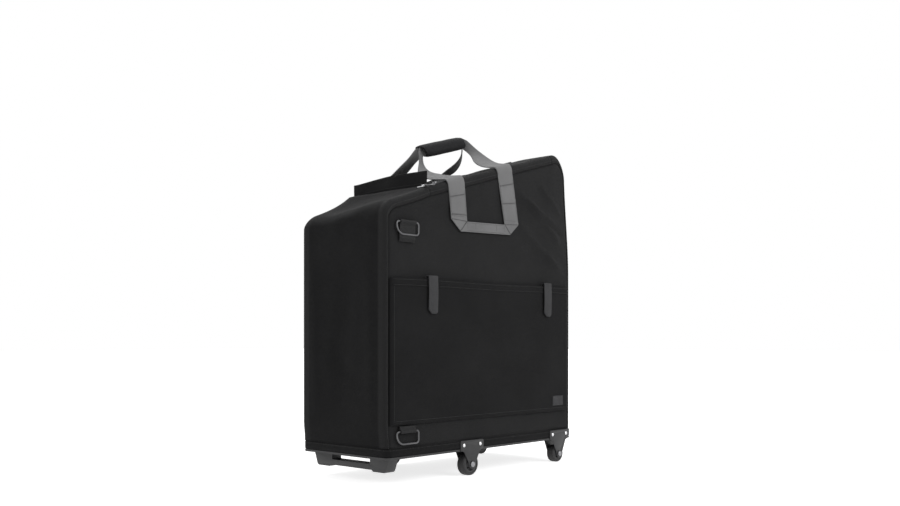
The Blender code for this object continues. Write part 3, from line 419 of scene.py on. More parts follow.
for key, (make, name, *tones, rough, rest) in paintTable.items():
    colour, faded = (tone if len(tone) == 3 else (tone[0], *tone) for tone in tones)
    paints[key] = make(name, {"colour": colour, "faded": faded, "rough": rough, **rest})
setCamera()
setStudio()
print("camera, room and materials ready")


# ---- mesh helpers
def makePiece(name, bm, paint, body, node=None, inner=None):
    # a finished mesh as an object that rides on a body and stands for a CAD node
    piece = addObject(name, meshFrom(name, bm))
    piece.data.materials.append(paints[paint])
    if inner:
        piece.data.materials.append(paints[inner])
    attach(piece, body)
    if node:
        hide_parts(node)
    return piece


def thicken(piece, thickness, offset=0, inner=False, even=True):
    wall = piece.modifiers.new("thickness", "SOLIDIFY")
    wall.thickness, wall.offset, wall.use_even_offset = thickness, offset, even
    wall.material_offset = 1 if inner else 0
    return piece


def roundEdges(piece, width, steps=2, angle=35):
    soft = piece.modifiers.new("roundedEdges", "BEVEL")
    soft.width, soft.segments = width, steps
    soft.limit_method, soft.angle_limit = "ANGLE", math.radians(angle)
    return piece


def linedCloth(name, bm, node, thickness, paint="body", body="bag"):
    piece = makePiece(name + "_cloth", bm, paint, body, node, "lining")
    return thicken(piece, thickness, -1, True)


def finalMesh(thing):
    # an object's mesh with its modifiers applied
    bpy.context.view_layer.update()
    seen = thing.evaluated_get(bpy.context.evaluated_depsgraph_get())
    return bpy.data.meshes.new_from_object(seen)


def settle(piece):
    data = finalMesh(piece)
    piece.modifiers.clear()
    piece.data = data
    return piece


def clothGrid(columns, rows, place, outward=None, weld=False):
    # a grid of quads laid out by place(u, v), which gives a point and its place on the cloth
    bm = bmesh.new()
    bmesh.ops.create_grid(bm, x_segments=columns, y_segments=rows, size=0.5)
    cloth = bm.loops.layers.uv.new("cloth")
    laid = {vert: place(vert.co.x + 0.5, vert.co.y + 0.5) for vert in bm.verts}
    for face in bm.faces:
        for loop in face.loops:
            loop[cloth].uv = laid[loop.vert][1]
    for vert, (point, flat) in laid.items():
        vert.co = point
    if weld:
        bmesh.ops.remove_doubles(bm, verts=bm.verts, dist=1e-5)
    if outward is not None:
        faceOut(bm, outward)
    bm.normal_update()
    return bm


def faceOut(bm, outward):
    # turn the whole skin so that it looks along a direction, or along one given for each place
    bm.normal_update()
    total = 0
    for face in bm.faces:
        way = outward(face.calc_center_median()) if callable(outward) else outward
        total += face.normal.dot(way) * face.calc_area()
    if total < 0:
        bmesh.ops.reverse_faces(bm, faces=bm.faces)


def awayFromMiddle(point):
    return point - Vector((point.x * 0.6, 0, 0.42))


def smooth(share):
    share = min(max(share, 0), 1)
    return share * share * (3 - 2 * share)


def ramp(value, start, length):
    # rises smoothly from 0 at start to 1 after a length
    return smooth((value - start) / length)


def mixed(low, high, share):
    return low + (high - low) * share


def evenly(low, high, count, skip=0):
    # numbers at even steps from low to high, without the first ones skipped
    return [mixed(low, high, step / count) for step in range(skip, count + 1)]


def spotOn(values, share):
    # the entry before a share of a list's length, and how far it is on from there
    place = min(max(share, 0), 1) * (len(values) - 1)
    index = min(int(place), len(values) - 2)
    return index, place - index


def alongList(values, share):
    index, part = spotOn(values, share)
    return mixed(values[index], values[index + 1], part)


def alongPoints(points, share):
    index, part = spotOn(points, share)
    return [mixed(a, b, part) for a, b in zip(points[index], points[index + 1])]


def soften(bm, relief):
    # push each corner along its normal by relief(point)
    bm.normal_update()
    moves = [(vert, vert.normal * relief(vert.co)) for vert in bm.verts]
    for vert, move in moves:
        vert.co += move
    bm.normal_update()


def ripple(point, scale, stretch=(1, 1, 1), seed=0.0):
    place = Vector((point.x * stretch[0] + seed, point.y * stretch[1] - seed,
                    point.z * stretch[2] + seed * 0.7))
    return noise.noise(place * scale)


def ripples(point, *waves):
    # a sum of slow and quick waves, each (scale, stretch, seed, height)
    return sum(ripple(point, *wave) * height for *wave, height in waves)


def foldHeight(a, b, folds):
    # sum of soft ridges, each (two numbers of its start, two of its end, width, height)
    here = Vector((a, b))
    total = 0
    for *ridge, width, height in folds:
        start, end = Vector(ridge[:2]), Vector(ridge[2:])
        line = end - start
        share = (here - start).dot(line) / line.length_squared
        near = start + line * min(max(share, 0), 1)
        fade = smooth(min(share, 1 - share) * 3 + 0.25)
        total += height * fade * math.exp(-((here - near).length / width) ** 2)
    return total


def polyCurve(points):
    path = bpy.data.curves.new("path", "CURVE")
    path.dimensions = "3D"
    spline = path.splines.new("POLY")
    spline.points.add(len(points) - 1)
    for knot, point in zip(spline.points, points):
        knot.co = (*point, 1)
    return path


def takeIn(bm, thing, path, *others):
    # add an object's final mesh to bm, then remove what made it
    data = finalMesh(thing)
    bm.from_mesh(data)
    for old in (thing, *others):
        bpy.data.objects.remove(old, do_unlink=True)
    bpy.data.curves.remove(path)
    bpy.data.meshes.remove(data)


def curveMesh(bm, points, radius, closed=False, steps=3):
    # add a round cord along a path
    path = polyCurve(points)
    path.bevel_depth, path.bevel_resolution = radius, steps - 1
    path.use_fill_caps = not closed
    path.splines[0].use_cyclic_u = closed
    takeIn(bm, addObject("path", path), path)


def repeatAlong(bm, template, points, pitch):
    # copies of a small mesh, one each pitch, bent along a path
    path = polyCurve(points)
    guide, small = addObject("row", path), addObject("rowPiece", template)
    row = small.modifiers.new("row", "ARRAY")
    row.use_relative_offset, row.use_constant_offset = False, True
    row.constant_offset_displace = (pitch, 0, 0)
    row.count = max(int((lengths(points)[-1] - pitch * 0.5) / pitch), 1)
    bend = small.modifiers.new("bend", "CURVE")
    bend.object, bend.deform_axis = guide, "POS_X"
    takeIn(bm, small, path, guide)


def bead(segments, rings, size, pitch, tip=0):
    # a small bead that lies along X, with its poles tipped over
    bm = bmesh.new()
    bmesh.ops.create_uvsphere(bm, u_segments=segments, v_segments=rings, radius=0.5)
    bmesh.ops.rotate(bm, matrix=Matrix.Rotation(tip, 3, "Y"), verts=bm.verts)
    bmesh.ops.scale(bm, vec=size, verts=bm.verts)
    bmesh.ops.translate(bm, vec=(pitch / 2, 0, 0), verts=bm.verts)
    return meshFrom("bead", bm)


stitch = {"pitch": 0.0042, "length": 0.0031, "thick": 0.0009}


def sewn(name, rows, body, scale=1.0, paint="thread"):
    # rows of stitches along paths, as one piece
    bm = bmesh.new()
    size = [stitch[key] * scale for key in ("length", "thick", "thick")]
    pitch = stitch["pitch"] * scale
    for row in rows:
        repeatAlong(bm, bead(6, 4, size, pitch, math.pi / 2), row, pitch)
    return makePiece(name, bm, paint, body)


def lengths(points):
    # running length of a list of points
    run = [0]
    for a, b in zip(points, points[1:]):
        run.append(run[-1] + (Vector(b) - Vector(a)).length)
    return run


def latheMesh(profile, steps=64):
    # a closed (radius, height) section spun round Z
    bm = bmesh.new()
    corners = [bm.verts.new((radius, 0, height)) for radius, height in profile]
    edges = [bm.edges.new(pair) for pair in zip(corners, corners[1:] + corners[:1])]
    bmesh.ops.spin(bm, geom=corners + edges, cent=(0, 0, 0), axis=(0, 0, 1), angle=math.tau,
                   steps=steps, use_merge=True)
    bmesh.ops.remove_doubles(bm, verts=bm.verts, dist=1e-6)
    bmesh.ops.recalc_face_normals(bm, faces=bm.faces)
    return bm


# ---- the bag's outline, repeated from its CAD model
def topLine(x, inset=0):
    return bag["topMid"] + slopeTan * x - inset * bag["edgeTop"]


def endShape(way, inset):
    # side view of one end: its edge, corner radius and corner centre
    edge = bag["left" if way < 0 else "right"] - way * inset * bag["edgeEnd"]
    radius = bag["lowCorner" if way < 0 else "tallCorner"] - inset * bag["edgeEnd"]
    midX = edge - way * radius
    return edge, radius, midX, topLine(midX, inset) - radius / slopeCos


def endPath(way, inset, share):
    # up the end from the base, round the corner and along the top to the zip or the lid's hinge
    edge, radius, midX, midZ = endShape(way, inset)
    stop = bag["shoulderX"] if way < 0 else bag["hingeX"] + bag["gap"]
    turn = math.pi / 2 + way * bag["slope"]
    _, radius0, midX0, midZ0 = endShape(way, 0)
    runs = (midZ0 - bag["low"], radius0 * turn,
            abs(stop - (midX0 - radius0 * slopeSin)) / slopeCos)
    first, second = runs[0] / sum(runs), (runs[0] + runs[1]) / sum(runs)
    if share < first:
        return edge, mixed(bag["low"], midZ, share / first)
    if share < second:
        angle = (share - first) / (second - first) * turn
        angle = math.pi - angle if way < 0 else angle
        return midX + radius * math.cos(angle), midZ + radius * math.sin(angle)
    x = mixed(midX - radius * slopeSin, stop, (share - second) / (1 - second))
    return x, topLine(x, inset)


shell = {"wall": 0.0042, "stripWall": 0.0026, "tuck": 0.0030, "edgeSteps": 8, "flatSteps": 40,
         "pipeInset": 1.10, "pipeOut": 0.0004, "pipe": 0.0010, "rowInset": 0.72, "rowIn": 0.040}
# how far the cloth gives way, with (start, length) of the stretch over which it does
drape = {"lean": 0.012, "pinch": 0.006, "leanZ": (0.50, 0.30), "shoulder": 0.030,
         "shoulderLong": 0.060, "shoulderY": (-0.13, 0.20), "shoulderZ": (0.56, 0.10),
         "frontShare": 0.25, "slack": 0.021, "slackX": (-0.15, 0.30), "slackY": (-0.05, 0.16),
         "slackBelow": (-0.16, 0.12), "foot": 0.004, "footTall": 0.05, "footLong": 0.03}


def draped(point):
    # slack cloth: the tall end leans in, the low shoulder sinks behind the zip and the top
    # falls toward its rear edge
    turn = ramp(point.x, bag["hingeX"], bag["right"] - bag["hingeX"])
    turn *= ramp(point.z, *drape["leanZ"])
    move = Vector((-drape["lean"] * turn, -drape["pinch"] * turn * point.y / bag["half"], 0))
    behind = max(bag["shoulderX"] - point.x, 0)
    sunk = (1 - math.exp(-behind / drape["shoulderLong"])) * ramp(point.z, *drape["shoulderZ"])
    sunk *= mixed(drape["frontShare"], 1, ramp(point.y, *drape["shoulderY"]))
    move.z -= drape["shoulder"] * sunk
    slack = ramp(point.y, *drape["slackY"]) * ramp(point.x, *drape["slackX"])
    move.z -= drape["slack"] * slack * ramp(point.z - topLine(point.x), *drape["slackBelow"])
    if point.x < bag["shoulderX"]:
        tuckIn = 1 - ramp(point.z, bag["low"], drape["footTall"])
        move.x += drape["foot"] * tuckIn * smooth(
            (bag["left"] + drape["footLong"] - point.x) / drape["footLong"])
    return move


def drapeMesh(bm):
    for vert in bm.verts:
        vert.co += draped(vert.co)
    bm.normal_update()
    return bm


def drapedRow(points):
    return [point + draped(point) for point in points]


def edgeSection():
    # (y, inset) of the rounded edge from the tucked front seam to the flat of the gusset
    half, deep, steps = bag["half"], bag["edgeAlong"], shell["edgeSteps"]
    section = [(-half + shell["tuck"], bag["seam"]), (-half + shell["tuck"] * 0.3, 1.06)]
    for turn in evenly(0, math.pi / 2, steps):
        section.append((-half + deep * (1 - math.cos(turn)), 1 - math.sin(turn)))
    return section


def wholeSection():
    front, count = edgeSection(), shell["flatSteps"]
    start = front[-1][0]
    flat = [(start - 2 * start * step / count, 0) for step in range(1, count)]
    return front + flat + [(-y, inset) for y, inset in reversed(front)]


def sectionLengths(section):
    return lengths([(y, inset * bag["edgeTop"], 0) for y, inset in section])


# where the ripples in the cloth are calm, as a length or (start, length), and how far they sink
crease = {"endRim": (0.006, 0.05), "endFoot": 0.06, "stopNear": 0.1, "stopLong": 0.05,
          "endSunk": 0.0010, "panelRim": (0.006, 0.045), "panelSunk": 0.0016,
          "heldRim": (-0.004, 0.016), "heldSunk": 0.0006, "tuckLong": 0.004, "stripEnd": 0.03,
          "stripRim": (0.001, 0.006), "lidRim": (0.004, 0.04), "lidFrom": (-0.176, 0.03),
          "portRim": (0.036, 0.03), "lidSunk": 0.0012}
# (side, CAD node, where the top stops, rows, cloth's height)
ends = ((-1, "left_end_panel", bag["shoulderX"], 104, 0.70),
        (1, "right_end_panel", bag["hingeX"], 120, 0.80))
# each fold's start, end, width and height, in Y and Z
endFolds = {
    -1: [(-0.10, 0.10, -0.085, 0.56, 0.020, 0.0022), (0.02, 0.14, -0.01, 0.50, 0.030, -0.0030),
         (0.10, 0.12, 0.115, 0.55, 0.018, 0.0020), (-0.13, 0.56, 0.05, 0.66, 0.014, 0.0022),
         (-0.12, 0.64, 0.02, 0.60, 0.016, -0.0016), (0.05, 0.30, -0.08, 0.22, 0.022, -0.0018)],
    1: [(-0.11, 0.12, -0.09, 0.70, 0.022, 0.0020), (0.01, 0.16, 0.02, 0.62, 0.034, -0.0030),
        (0.12, 0.66, 0.02, 0.76, 0.016, 0.0020), (-0.12, 0.60, 0.03, 0.74, 0.014, -0.0015)],
}


def buildEnds():
    section = wholeSection()
    across = sectionLengths(section)
    for way, name, stop, rows, tall in ends:
        def place(u, v):
            y, inset = alongPoints(section, u)
            x, z = endPath(way, inset, v)
            return Vector((x, y, z)), (alongList(across, u), v * tall)

        def relief(point):
            fade = ramp(bag["half"] - abs(point.y), *crease["endRim"])
            fade *= ramp(point.z, bag["low"], crease["endFoot"])
            if abs(point.x) < abs(stop) + crease["stopNear"]:
                fade *= smooth(abs(point.x - stop) / crease["stopLong"])
            swell = ripples(point, (6, (1, 1.2, 0.45), 3.1 * way, 0.0040),
                            (22, (1, 1, 0.5), 7.7, 0.0010)) - crease["endSunk"]
            return fade * (swell + foldHeight(point.y, point.z, endFolds[way]))

        bm = clothGrid(len(section) - 1, rows, place, awayFromMiddle)
        soften(bm, relief)
        linedCloth(name, drapeMesh(bm), name, shell["wall"], "end")


def panelTop(x, seam):
    # the front panel's outline above x, with the two rounded corners
    for way in (-1, 1):
        _, radius, midX, midZ = endShape(way, seam)
        if (x - midX + radius * slopeSin) * way > 0:
            return midZ + math.sqrt(max(radius * radius - (x - midX) ** 2, 0))
    return topLine(x, seam)


# each fold's start, end, width and height, in X and Z
panelFolds = {
    -1: [(0.113, 0.711, 0.279, 0.640, 0.008, 0.0050), (0.155, 0.700, 0.311, 0.583, 0.009, 0.0048),
         (0.205, 0.745, 0.325, 0.655, 0.007, 0.0042), (0.12, 0.630, 0.290, 0.520, 0.012, 0.0042),
         (0.20, 0.660, 0.320, 0.610, 0.006, -0.0040), (0.24, 0.560, 0.328, 0.500, 0.008, 0.0036),
         (-0.26, 0.62, -0.16, 0.560, 0.018, 0.0014), (-0.30, 0.50, -0.20, 0.530, 0.016, -0.0014)],
    1: [(-0.30, 0.60, -0.17, 0.64, 0.014, 0.0022), (0.14, 0.68, 0.31, 0.58, 0.014, 0.0024),
        (-0.32, 0.18, -0.12, 0.30, 0.020, 0.0022), (0.10, 0.50, 0.32, 0.38, 0.022, 0.0024),
        (-0.05, 0.14, 0.20, 0.24, 0.022, -0.0022), (-0.20, 0.40, 0.02, 0.46, 0.020, -0.0018)],
}
# (low, high, bottom, top) of what lies on a panel: two legs, the bar, a ring's tab, the pocket
covers = ((-0.155, -0.070, 0.585, 0.76), (0.030, 0.125, 0.585, 0.80), (-0.150, 0.125, 0.583, 0.632),
          (-0.320, -0.257, 0.545, 0.612), (-0.342, 0.330, 0.075, 0.483))


def buildPanels():
    seam = bag["seam"]
    (edgeL, radiusL, midL, _), (edgeR, radiusR, midR, _) = endShape(-1, seam), endShape(1, seam)
    columns = [midL - radiusL * math.cos(math.radians(9.3 * step)) for step in range(9)]
    columns += evenly(columns[-1], midR - radiusR * slopeSin, 84, 1)
    columns += [midR + radiusR * math.cos(math.radians(105.9 * (1 - step / 11)))
                for step in range(1, 12)]
    for side, name in ((-1, "front_panel"), (1, "rear_panel")):
        def inward(x, z):
            return min(x - edgeL, edgeR - x, panelTop(x, seam) - z)

        def place(u, v):
            x = alongList(columns, u)
            z = mixed(bag["low"], panelTop(x, seam), v)
            tuck = shell["tuck"] * math.exp(-(inward(x, z) / crease["tuckLong"]) ** 2)
            return Vector((x, side * (bag["half"] - tuck), z)), (x, z)

        def relief(point):
            edge = min(inward(point.x, point.z), point.z - bag["low"])
            lift = ripples(point, (5.5, (1, 1, 0.9), 11.3 * side, 0.0030),
                           (17, (1, 1, 0.8), 4.2 * side, 0.0009)) - crease["panelSunk"]
            lift += foldHeight(point.x, point.z, panelFolds[side])
            lift = mixed(lift, min(lift, 0) - crease["heldSunk"], coverHold(point))
            return ramp(edge, *crease["panelRim"]) * lift

        bm = clothGrid(len(columns) - 1, 88, place, -side * toFront)
        soften(bm, relief)
        linedCloth(name, drapeMesh(bm), name, shell["wall"])


def coverHold(point):
    # 1 where something is sewn on the panel and holds it flat
    held = 0
    for low, high, bottom, top in covers:
        out = max(low - point.x, point.x - high, bottom - point.z, point.z - top)
        held = max(held, 1 - ramp(out, *crease["heldRim"]))
    return held


def buildStrips():
    # the fixed cloth between the front or rear seam and the zip, along the slanted top
    section = edgeSection()
    across = sectionLengths(section)
    start, stop = bag["shoulderX"] + bag["gap"], bag["hingeX"] - bag["gap"]
    for side, name in ((-1, "front_zip_strip"), (1, "rear_zip_strip")):
        def place(u, v):
            y, inset = alongPoints(section, u)
            x = mixed(start, stop, v)
            return Vector((x, -side * y, topLine(x, inset))), (alongList(across, u), x / slopeCos)

        def relief(point):
            fade = smooth((point.x - start) / crease["stripEnd"])
            fade *= smooth((stop - point.x) / crease["stripEnd"])
            fade *= ramp(bag["half"] - abs(point.y), *crease["stripRim"])
            return fade * ripples(point, (16, (1, 0.4, 1), 5.5 * side, 0.0012))

        bm = clothGrid(len(section) - 1, 76, place, awayFromMiddle)
        soften(bm, relief)
        linedCloth(name, drapeMesh(bm), name, shell["stripWall"])


lid = {"start": -0.20455, "stop": 0.2615, "half": 0.12455, "rim": 0.004, "rimDrop": 0.35,
       "portX": 0.2227, "portRadius": 0.0244, "bindRadius": 0.0282, "bindWide": 0.0040,
       "bindHigh": 0.0020, "bindStitch": (0.0300, 0.0019), "pull": 0.012}
# each fold's start, end, width and height, in X and Y
lidFolds = [(-0.15, -0.10, -0.05, 0.06, 0.020, 0.0022), (0.00, -0.11, 0.10, 0.02, 0.022, -0.0022),
            (0.02, 0.11, 0.14, 0.00, 0.018, 0.0020), (-0.12, 0.11, -0.02, 0.02, 0.018, -0.0018)]


def buildLid():
    def place(u, v):
        x, y = mixed(lid["start"], lid["stop"], u), mixed(-lid["half"], lid["half"], v)
        rim = max(abs(y) - lid["half"] + lid["rim"], lid["start"] + lid["rim"] - x, 0)
        return Vector((x, y, topLine(x))) - above * rim * lid["rimDrop"], (x / slopeCos, y)

    def relief(point):
        edge = min(point.x - lid["start"], lid["stop"] - point.x, lid["half"] - abs(point.y))
        away = Vector(((point.x - lid["portX"]) / slopeCos, point.y)).length
        fade = ramp(edge, *crease["lidRim"]) * ramp(point.x, *crease["lidFrom"])
        lift = ripples(point, (8, (1, 1, 1), 2.4, 0.0030)) - crease["lidSunk"]
        lift += foldHeight(point.x, point.y, lidFolds)
        return fade * ramp(away, *crease["portRim"]) * lift

    bm = clothGrid(84, 46, place, above)
    soften(bm, relief)
    port = Vector((lid["portX"], 0, topLine(lid["portX"])))

    def fromPort(vert):
        return vert.co - port - above * (vert.co - port).dot(above)

    inside = [vert for vert in bm.verts if fromPort(vert).length < lid["portRadius"]]
    bmesh.ops.delete(bm, geom=inside, context="VERTS")
    for vert in bm.verts:
        away = fromPort(vert)
        if vert.is_boundary and away.length < lid["portRadius"] + lid["pull"]:
            vert.co += away.normalized() * (lid["portRadius"] - away.length)
    linedCloth("lid", drapeMesh(bm), "lid_panel", shell["wall"], body="lid")

    # bound rim of the port: a rolled cloth ring with its stitches
    turns = [math.pi / 2 - math.tau * step / 14 for step in range(14)]
    bm = latheMesh([(lid["bindRadius"] + lid["bindWide"] * math.cos(turn),
                     max(lid["bindHigh"] * math.sin(turn), -0.0001) + 0.0001)
                    for turn in turns], 56)
    lift = Matrix.Translation(port + above * bag["gap"]) @ Matrix.Rotation(-bag["slope"], 4, "Y")
    bmesh.ops.transform(bm, matrix=lift, verts=bm.verts)
    makePiece("port_binding", drapeMesh(bm), "ringWebbing", "lid", "port_collar")
    radius, high = lid["bindStitch"]
    circle = [lift @ Vector((radius * math.cos(turn), radius * math.sin(turn), high))
              for turn in evenly(0, math.tau, 48)]
    sewn("port_stitches", [drapedRow(circle)], "lid", 0.9, "greyThread")


def seamPath(inset, aside):
    # the whole front or rear seam in side view, from one end's foot to the other's
    low = [endPath(-1, inset, share) for share in evenly(0, 1, 60)]
    tall = [endPath(1, inset, share) for share in evenly(0, 1, 64)]
    return [Vector((x, aside, z)) for x, z in low + tall[::-1]]


def buildSeams():
    bm = bmesh.new()
    rows = []
    for side in (-1, 1):
        # a thin cord sunk in the seam's groove, whose dark paint is partly painted shade for the
        # groove
        aside = side * (bag["half"] - shell["tuck"] + shell["pipeOut"])
        curveMesh(bm, seamPath(shell["pipeInset"], aside), shell["pipe"])
        aside = side * (bag["half"] - bag["edgeAlong"] * shell["rowIn"])
        rows.append(drapedRow(seamPath(shell["rowInset"], aside)))
    makePiece("seam_piping", drapeMesh(bm), "piping", "bag")
    sewn("seam_stitches", rows, "bag")


print("shells")
buildEnds()
buildPanels()
buildStrips()
buildLid()
buildSeams()

# ---- base: the covered rim, its piping and the floor pad
base = {"length": 0.700, "width": 0.295, "corner": 0.014, "rimLow": 0.0674, "rimHigh": 0.0872,
        "rimThick": 0.0055, "rimRadius": 0.0024, "belly": 0.0012, "around": 1.95, "over": 0.05,
        "heart": (0.33, 0.13), "pipeIn": 0.0030, "pipeUp": 0.0004, "pipe": 0.0012,
        "rowOut": 0.0008, "rowDown": 0.0038}
cushion = {"inset": (0.002, 0.002, 0.0012), "corner": 0.009, "cornerX": 0.34, "cornerY": 0.135,
           "quiltX": 0.0875, "quiltY": 0.075, "puff": 0.0016, "sink": 0.0010}


def roundLoop(corners, radii, steps):
    # a closed outline of (a, b) points whose corners are arcs
    loop = []
    count = len(corners)
    for index in range(count):
        before, corner, after = (Vector(corners[(index + k) % count]) for k in (-1, 0, 1))
        back, on = (before - corner).normalized(), (after - corner).normalized()
        half = back.angle(on) / 2
        radius = radii[index]
        middle = corner + (back + on).normalized() * radius / math.sin(half)
        first = corner + back * radius / math.tan(half) - middle
        last = corner + on * radius / math.tan(half) - middle
        sweep = first.angle_signed(last)
        for step in range(steps + 1):
            turned = first.copy()
            turned.rotate(Matrix.Rotation(-sweep * step / steps, 2))
            loop.append(middle + turned)
    return loop


def evenLoop(points, count):
    # the same closed outline with evenly spaced points, the first one repeated at the end
    ring = [*points, points[0]]
    run = lengths(ring)
    even, index = [], 0
    for step in range(count + 1):
        want = run[-1] * step / count
        while index < len(run) - 2 and run[index + 1] < want:
            index += 1
        share = (want - run[index]) / max(run[index + 1] - run[index], 1e-9)
        even.append(Vector(ring[index]).lerp(Vector(ring[index + 1]), min(max(share, 0), 1)))
    return even


def planLoop(inset, count):
    x, y = base["length"] / 2 - inset, base["width"] / 2 - inset
    corners = [(-x, -y), (x, -y), (x, y), (-x, y)]
    return evenLoop(roundLoop(corners, [base["corner"] - inset] * 4, 8), count)


def buildBase():
    thick, tall = base["rimThick"], base["rimHigh"] - base["rimLow"]
    profile = []                                  # (inset, height) round the rim's section
    for inset, height in roundLoop([(0, 0), (0, tall), (thick, tall), (thick, 0)],
                                   [base["rimRadius"]] * 4, 5):
        swell = base["belly"] * math.sin(math.pi * min(max(height / tall, 0), 1))
        profile.append((inset - swell if inset < thick / 2 else inset, height))
    profile.append(profile[0])
    count = 240
    loops = {}

    def place(u, v):
        inset, height = alongPoints(profile, v)
        key = round(max(inset, 0), 5)
        if key not in loops:
            loops[key] = planLoop(key, count)
        point = loops[key][round(u * count) % count].to_3d()
        near = Vector([max(min(part, most), -most) for part, most in zip(point, base["heart"])])
        out = (point - near.to_3d()).normalized() * max(-inset, 0)
        spot = Vector((point.x, point.y, base["rimLow"] + height)) + out
        return spot, (u * base["around"], v * base["over"])

    bm = clothGrid(count, len(profile) - 1, place, weld=True)
    bmesh.ops.recalc_face_normals(bm, faces=bm.faces)
    makePiece("base_rim_cover", bm, "base", "bag", "base_band")

    bm = bmesh.new()
    loop = [(*p, base["rimHigh"] + base["pipeUp"]) for p in planLoop(base["pipeIn"], 200)[:-1]]
    curveMesh(bm, loop, base["pipe"], True)
    makePiece("base_piping", bm, "piping", "bag")
    row = [(*p, base["rimHigh"] - base["rowDown"]) for p in planLoop(-base["rowOut"], 260)]
    sewn("base_stitches", [row], "bag")
    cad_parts["base_board"].data.materials[0] = paints["board"]

    # floor pad: foam in a quilted cover
    low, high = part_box("floor_pad")
    size = [wide - less for wide, less in zip(high - low, cushion["inset"])]
    bm = bmesh.new()
    bmesh.ops.create_cube(bm, size=1)
    bmesh.ops.scale(bm, vec=size, verts=bm.verts)
    bmesh.ops.translate(bm, vec=(low + high) / 2, verts=bm.verts)
    level = [e for e in bm.edges if abs(e.verts[0].co.z - e.verts[1].co.z) < 1e-6]
    bmesh.ops.subdivide_edges(bm, edges=level, cuts=5, use_grid_fill=True)
    corners = [e for e in bm.edges if all(abs(v.co.x) > cushion["cornerX"]
                                          and abs(v.co.y) > cushion["cornerY"] for v in e.verts)]
    bmesh.ops.bevel(bm, geom=corners, affect="EDGES", offset=cushion["corner"], segments=4,
                    profile=0.5, material=-1)
    bmesh.ops.subdivide_edges(bm, edges=list(bm.edges), cuts=3, use_grid_fill=True)
    cloth = bm.loops.layers.uv.new("cloth")
    for vert in bm.verts:
        quilt = abs(math.sin(math.pi * (vert.co.x + 0.35) / cushion["quiltX"])) * \
            abs(math.sin(math.pi * (vert.co.y + 0.15) / cushion["quiltY"]))
        if vert.co.z > (low.z + high.z) / 2:
            vert.co.z += cushion["puff"] * quilt ** 0.5 - cushion["sink"]
    for face in bm.faces:
        for loop in face.loops:
            loop[cloth].uv = loop.vert.co.xy
    makePiece("floor_cushion", bm, "pad", "bag", "floor_pad")


# ---- front pocket, its hem, label and webbing tabs
tab = {"left": -0.211, "right": 0.231, "wide": 0.031, "length": 0.088, "y": -0.1572,
       "top": 0.4799, "thick": 0.0020, "cut": 0.010, "clip": 0.005, "wave": 0.0012,
       "curl": 0.0006, "edge": 0.0006, "rootThick": 0.0018, "rootEdge": 0.0005,
       "rowOut": 0.0003, "rowTop": 0.012}
# (y, z) of a tab's root, from inside the pocket's mouth out over the hem
tabRoute = [(-0.1468, 0.4600), (-0.1468, 0.4660), (-0.1469, 0.4720), (-0.1474, 0.4770),
            (-0.1488, 0.4793), (-0.1510, 0.4799), (-0.1558, 0.4799)]
pocket = {"left": -0.343, "right": 0.331, "low": 0.138, "high": 0.472, "depth": 0.0069,
          "edge": 0.0085, "belly": 0.0026, "skin": 0.1458, "dip": 0.0016, "wall": 0.0013,
          "bellyTop": 0.405, "bellyLong": 0.10, "calmTop": 0.435, "calmLong": 0.05,
          "press": 0.0003, "rowIn": 0.0100, "rowTop": 0.452,
          "hemRows": ((-0.0155, 0.0011), (-0.0030, 0.0012)), "dipZ": (0.40, 0.072),
          "hemIn": 0.002, "hemRowIn": 0.006, "hemCloth": 0.04, "hemLeast": 0.0004}
# (offset, drop) of the hem's section from the mouth's line
hemSection = [(0.0002, -0.0182), (0.0009, -0.0176), (0.0010, -0.0100), (0.0010, -0.0020),
              (0.0008, -0.0004), (0.0001, 0.0005), (-0.0007, 0.0007), (-0.0015, 0.0004),
              (-0.0019, -0.0006), (-0.0019, -0.0100)]
label = {"x": 0.281, "z": 0.167, "wide": 0.046, "tall": 0.026, "lift": 0.0003, "thick": 0.0008,
         "row": 0.002, "rim": 0.0012}


def pocketDepth(x, z):
    # how far the pocket's cloth stands off the front panel
    out = min(x - pocket["left"], pocket["right"] - x, z - pocket["low"])
    share = min(max(out / pocket["edge"], 0), 1)
    rise = pocket["depth"] * math.sqrt(max(1 - (1 - share) ** 2, 0))
    fade, calm = pocket["bellyLong"], pocket["calmLong"]
    belly = pocket["belly"] * smooth(out / fade) * smooth((pocket["bellyTop"] - z) / fade)
    slow = ripples(Vector((x, 0, z)), (7, (1, 1, 0.8), 21.0, 0.0016),
                   (19, (1, 1, 0.9), 3.0, 0.0005))
    slow *= smooth(out / calm) * smooth((pocket["calmTop"] - z) / calm)
    return rise + belly + slow - pocket["press"] * share


def onPocket(x, z, out=0):
    return Vector((x, -pocket["skin"] - pocketDepth(x, z) - out, z))


def mouthLine(x):
    # the pocket's mouth dips a little between the tabs
    share = (x - tab["left"]) / (tab["right"] - tab["left"])
    return pocket["high"] - pocket["dip"] * math.sin(math.pi * share) ** 2


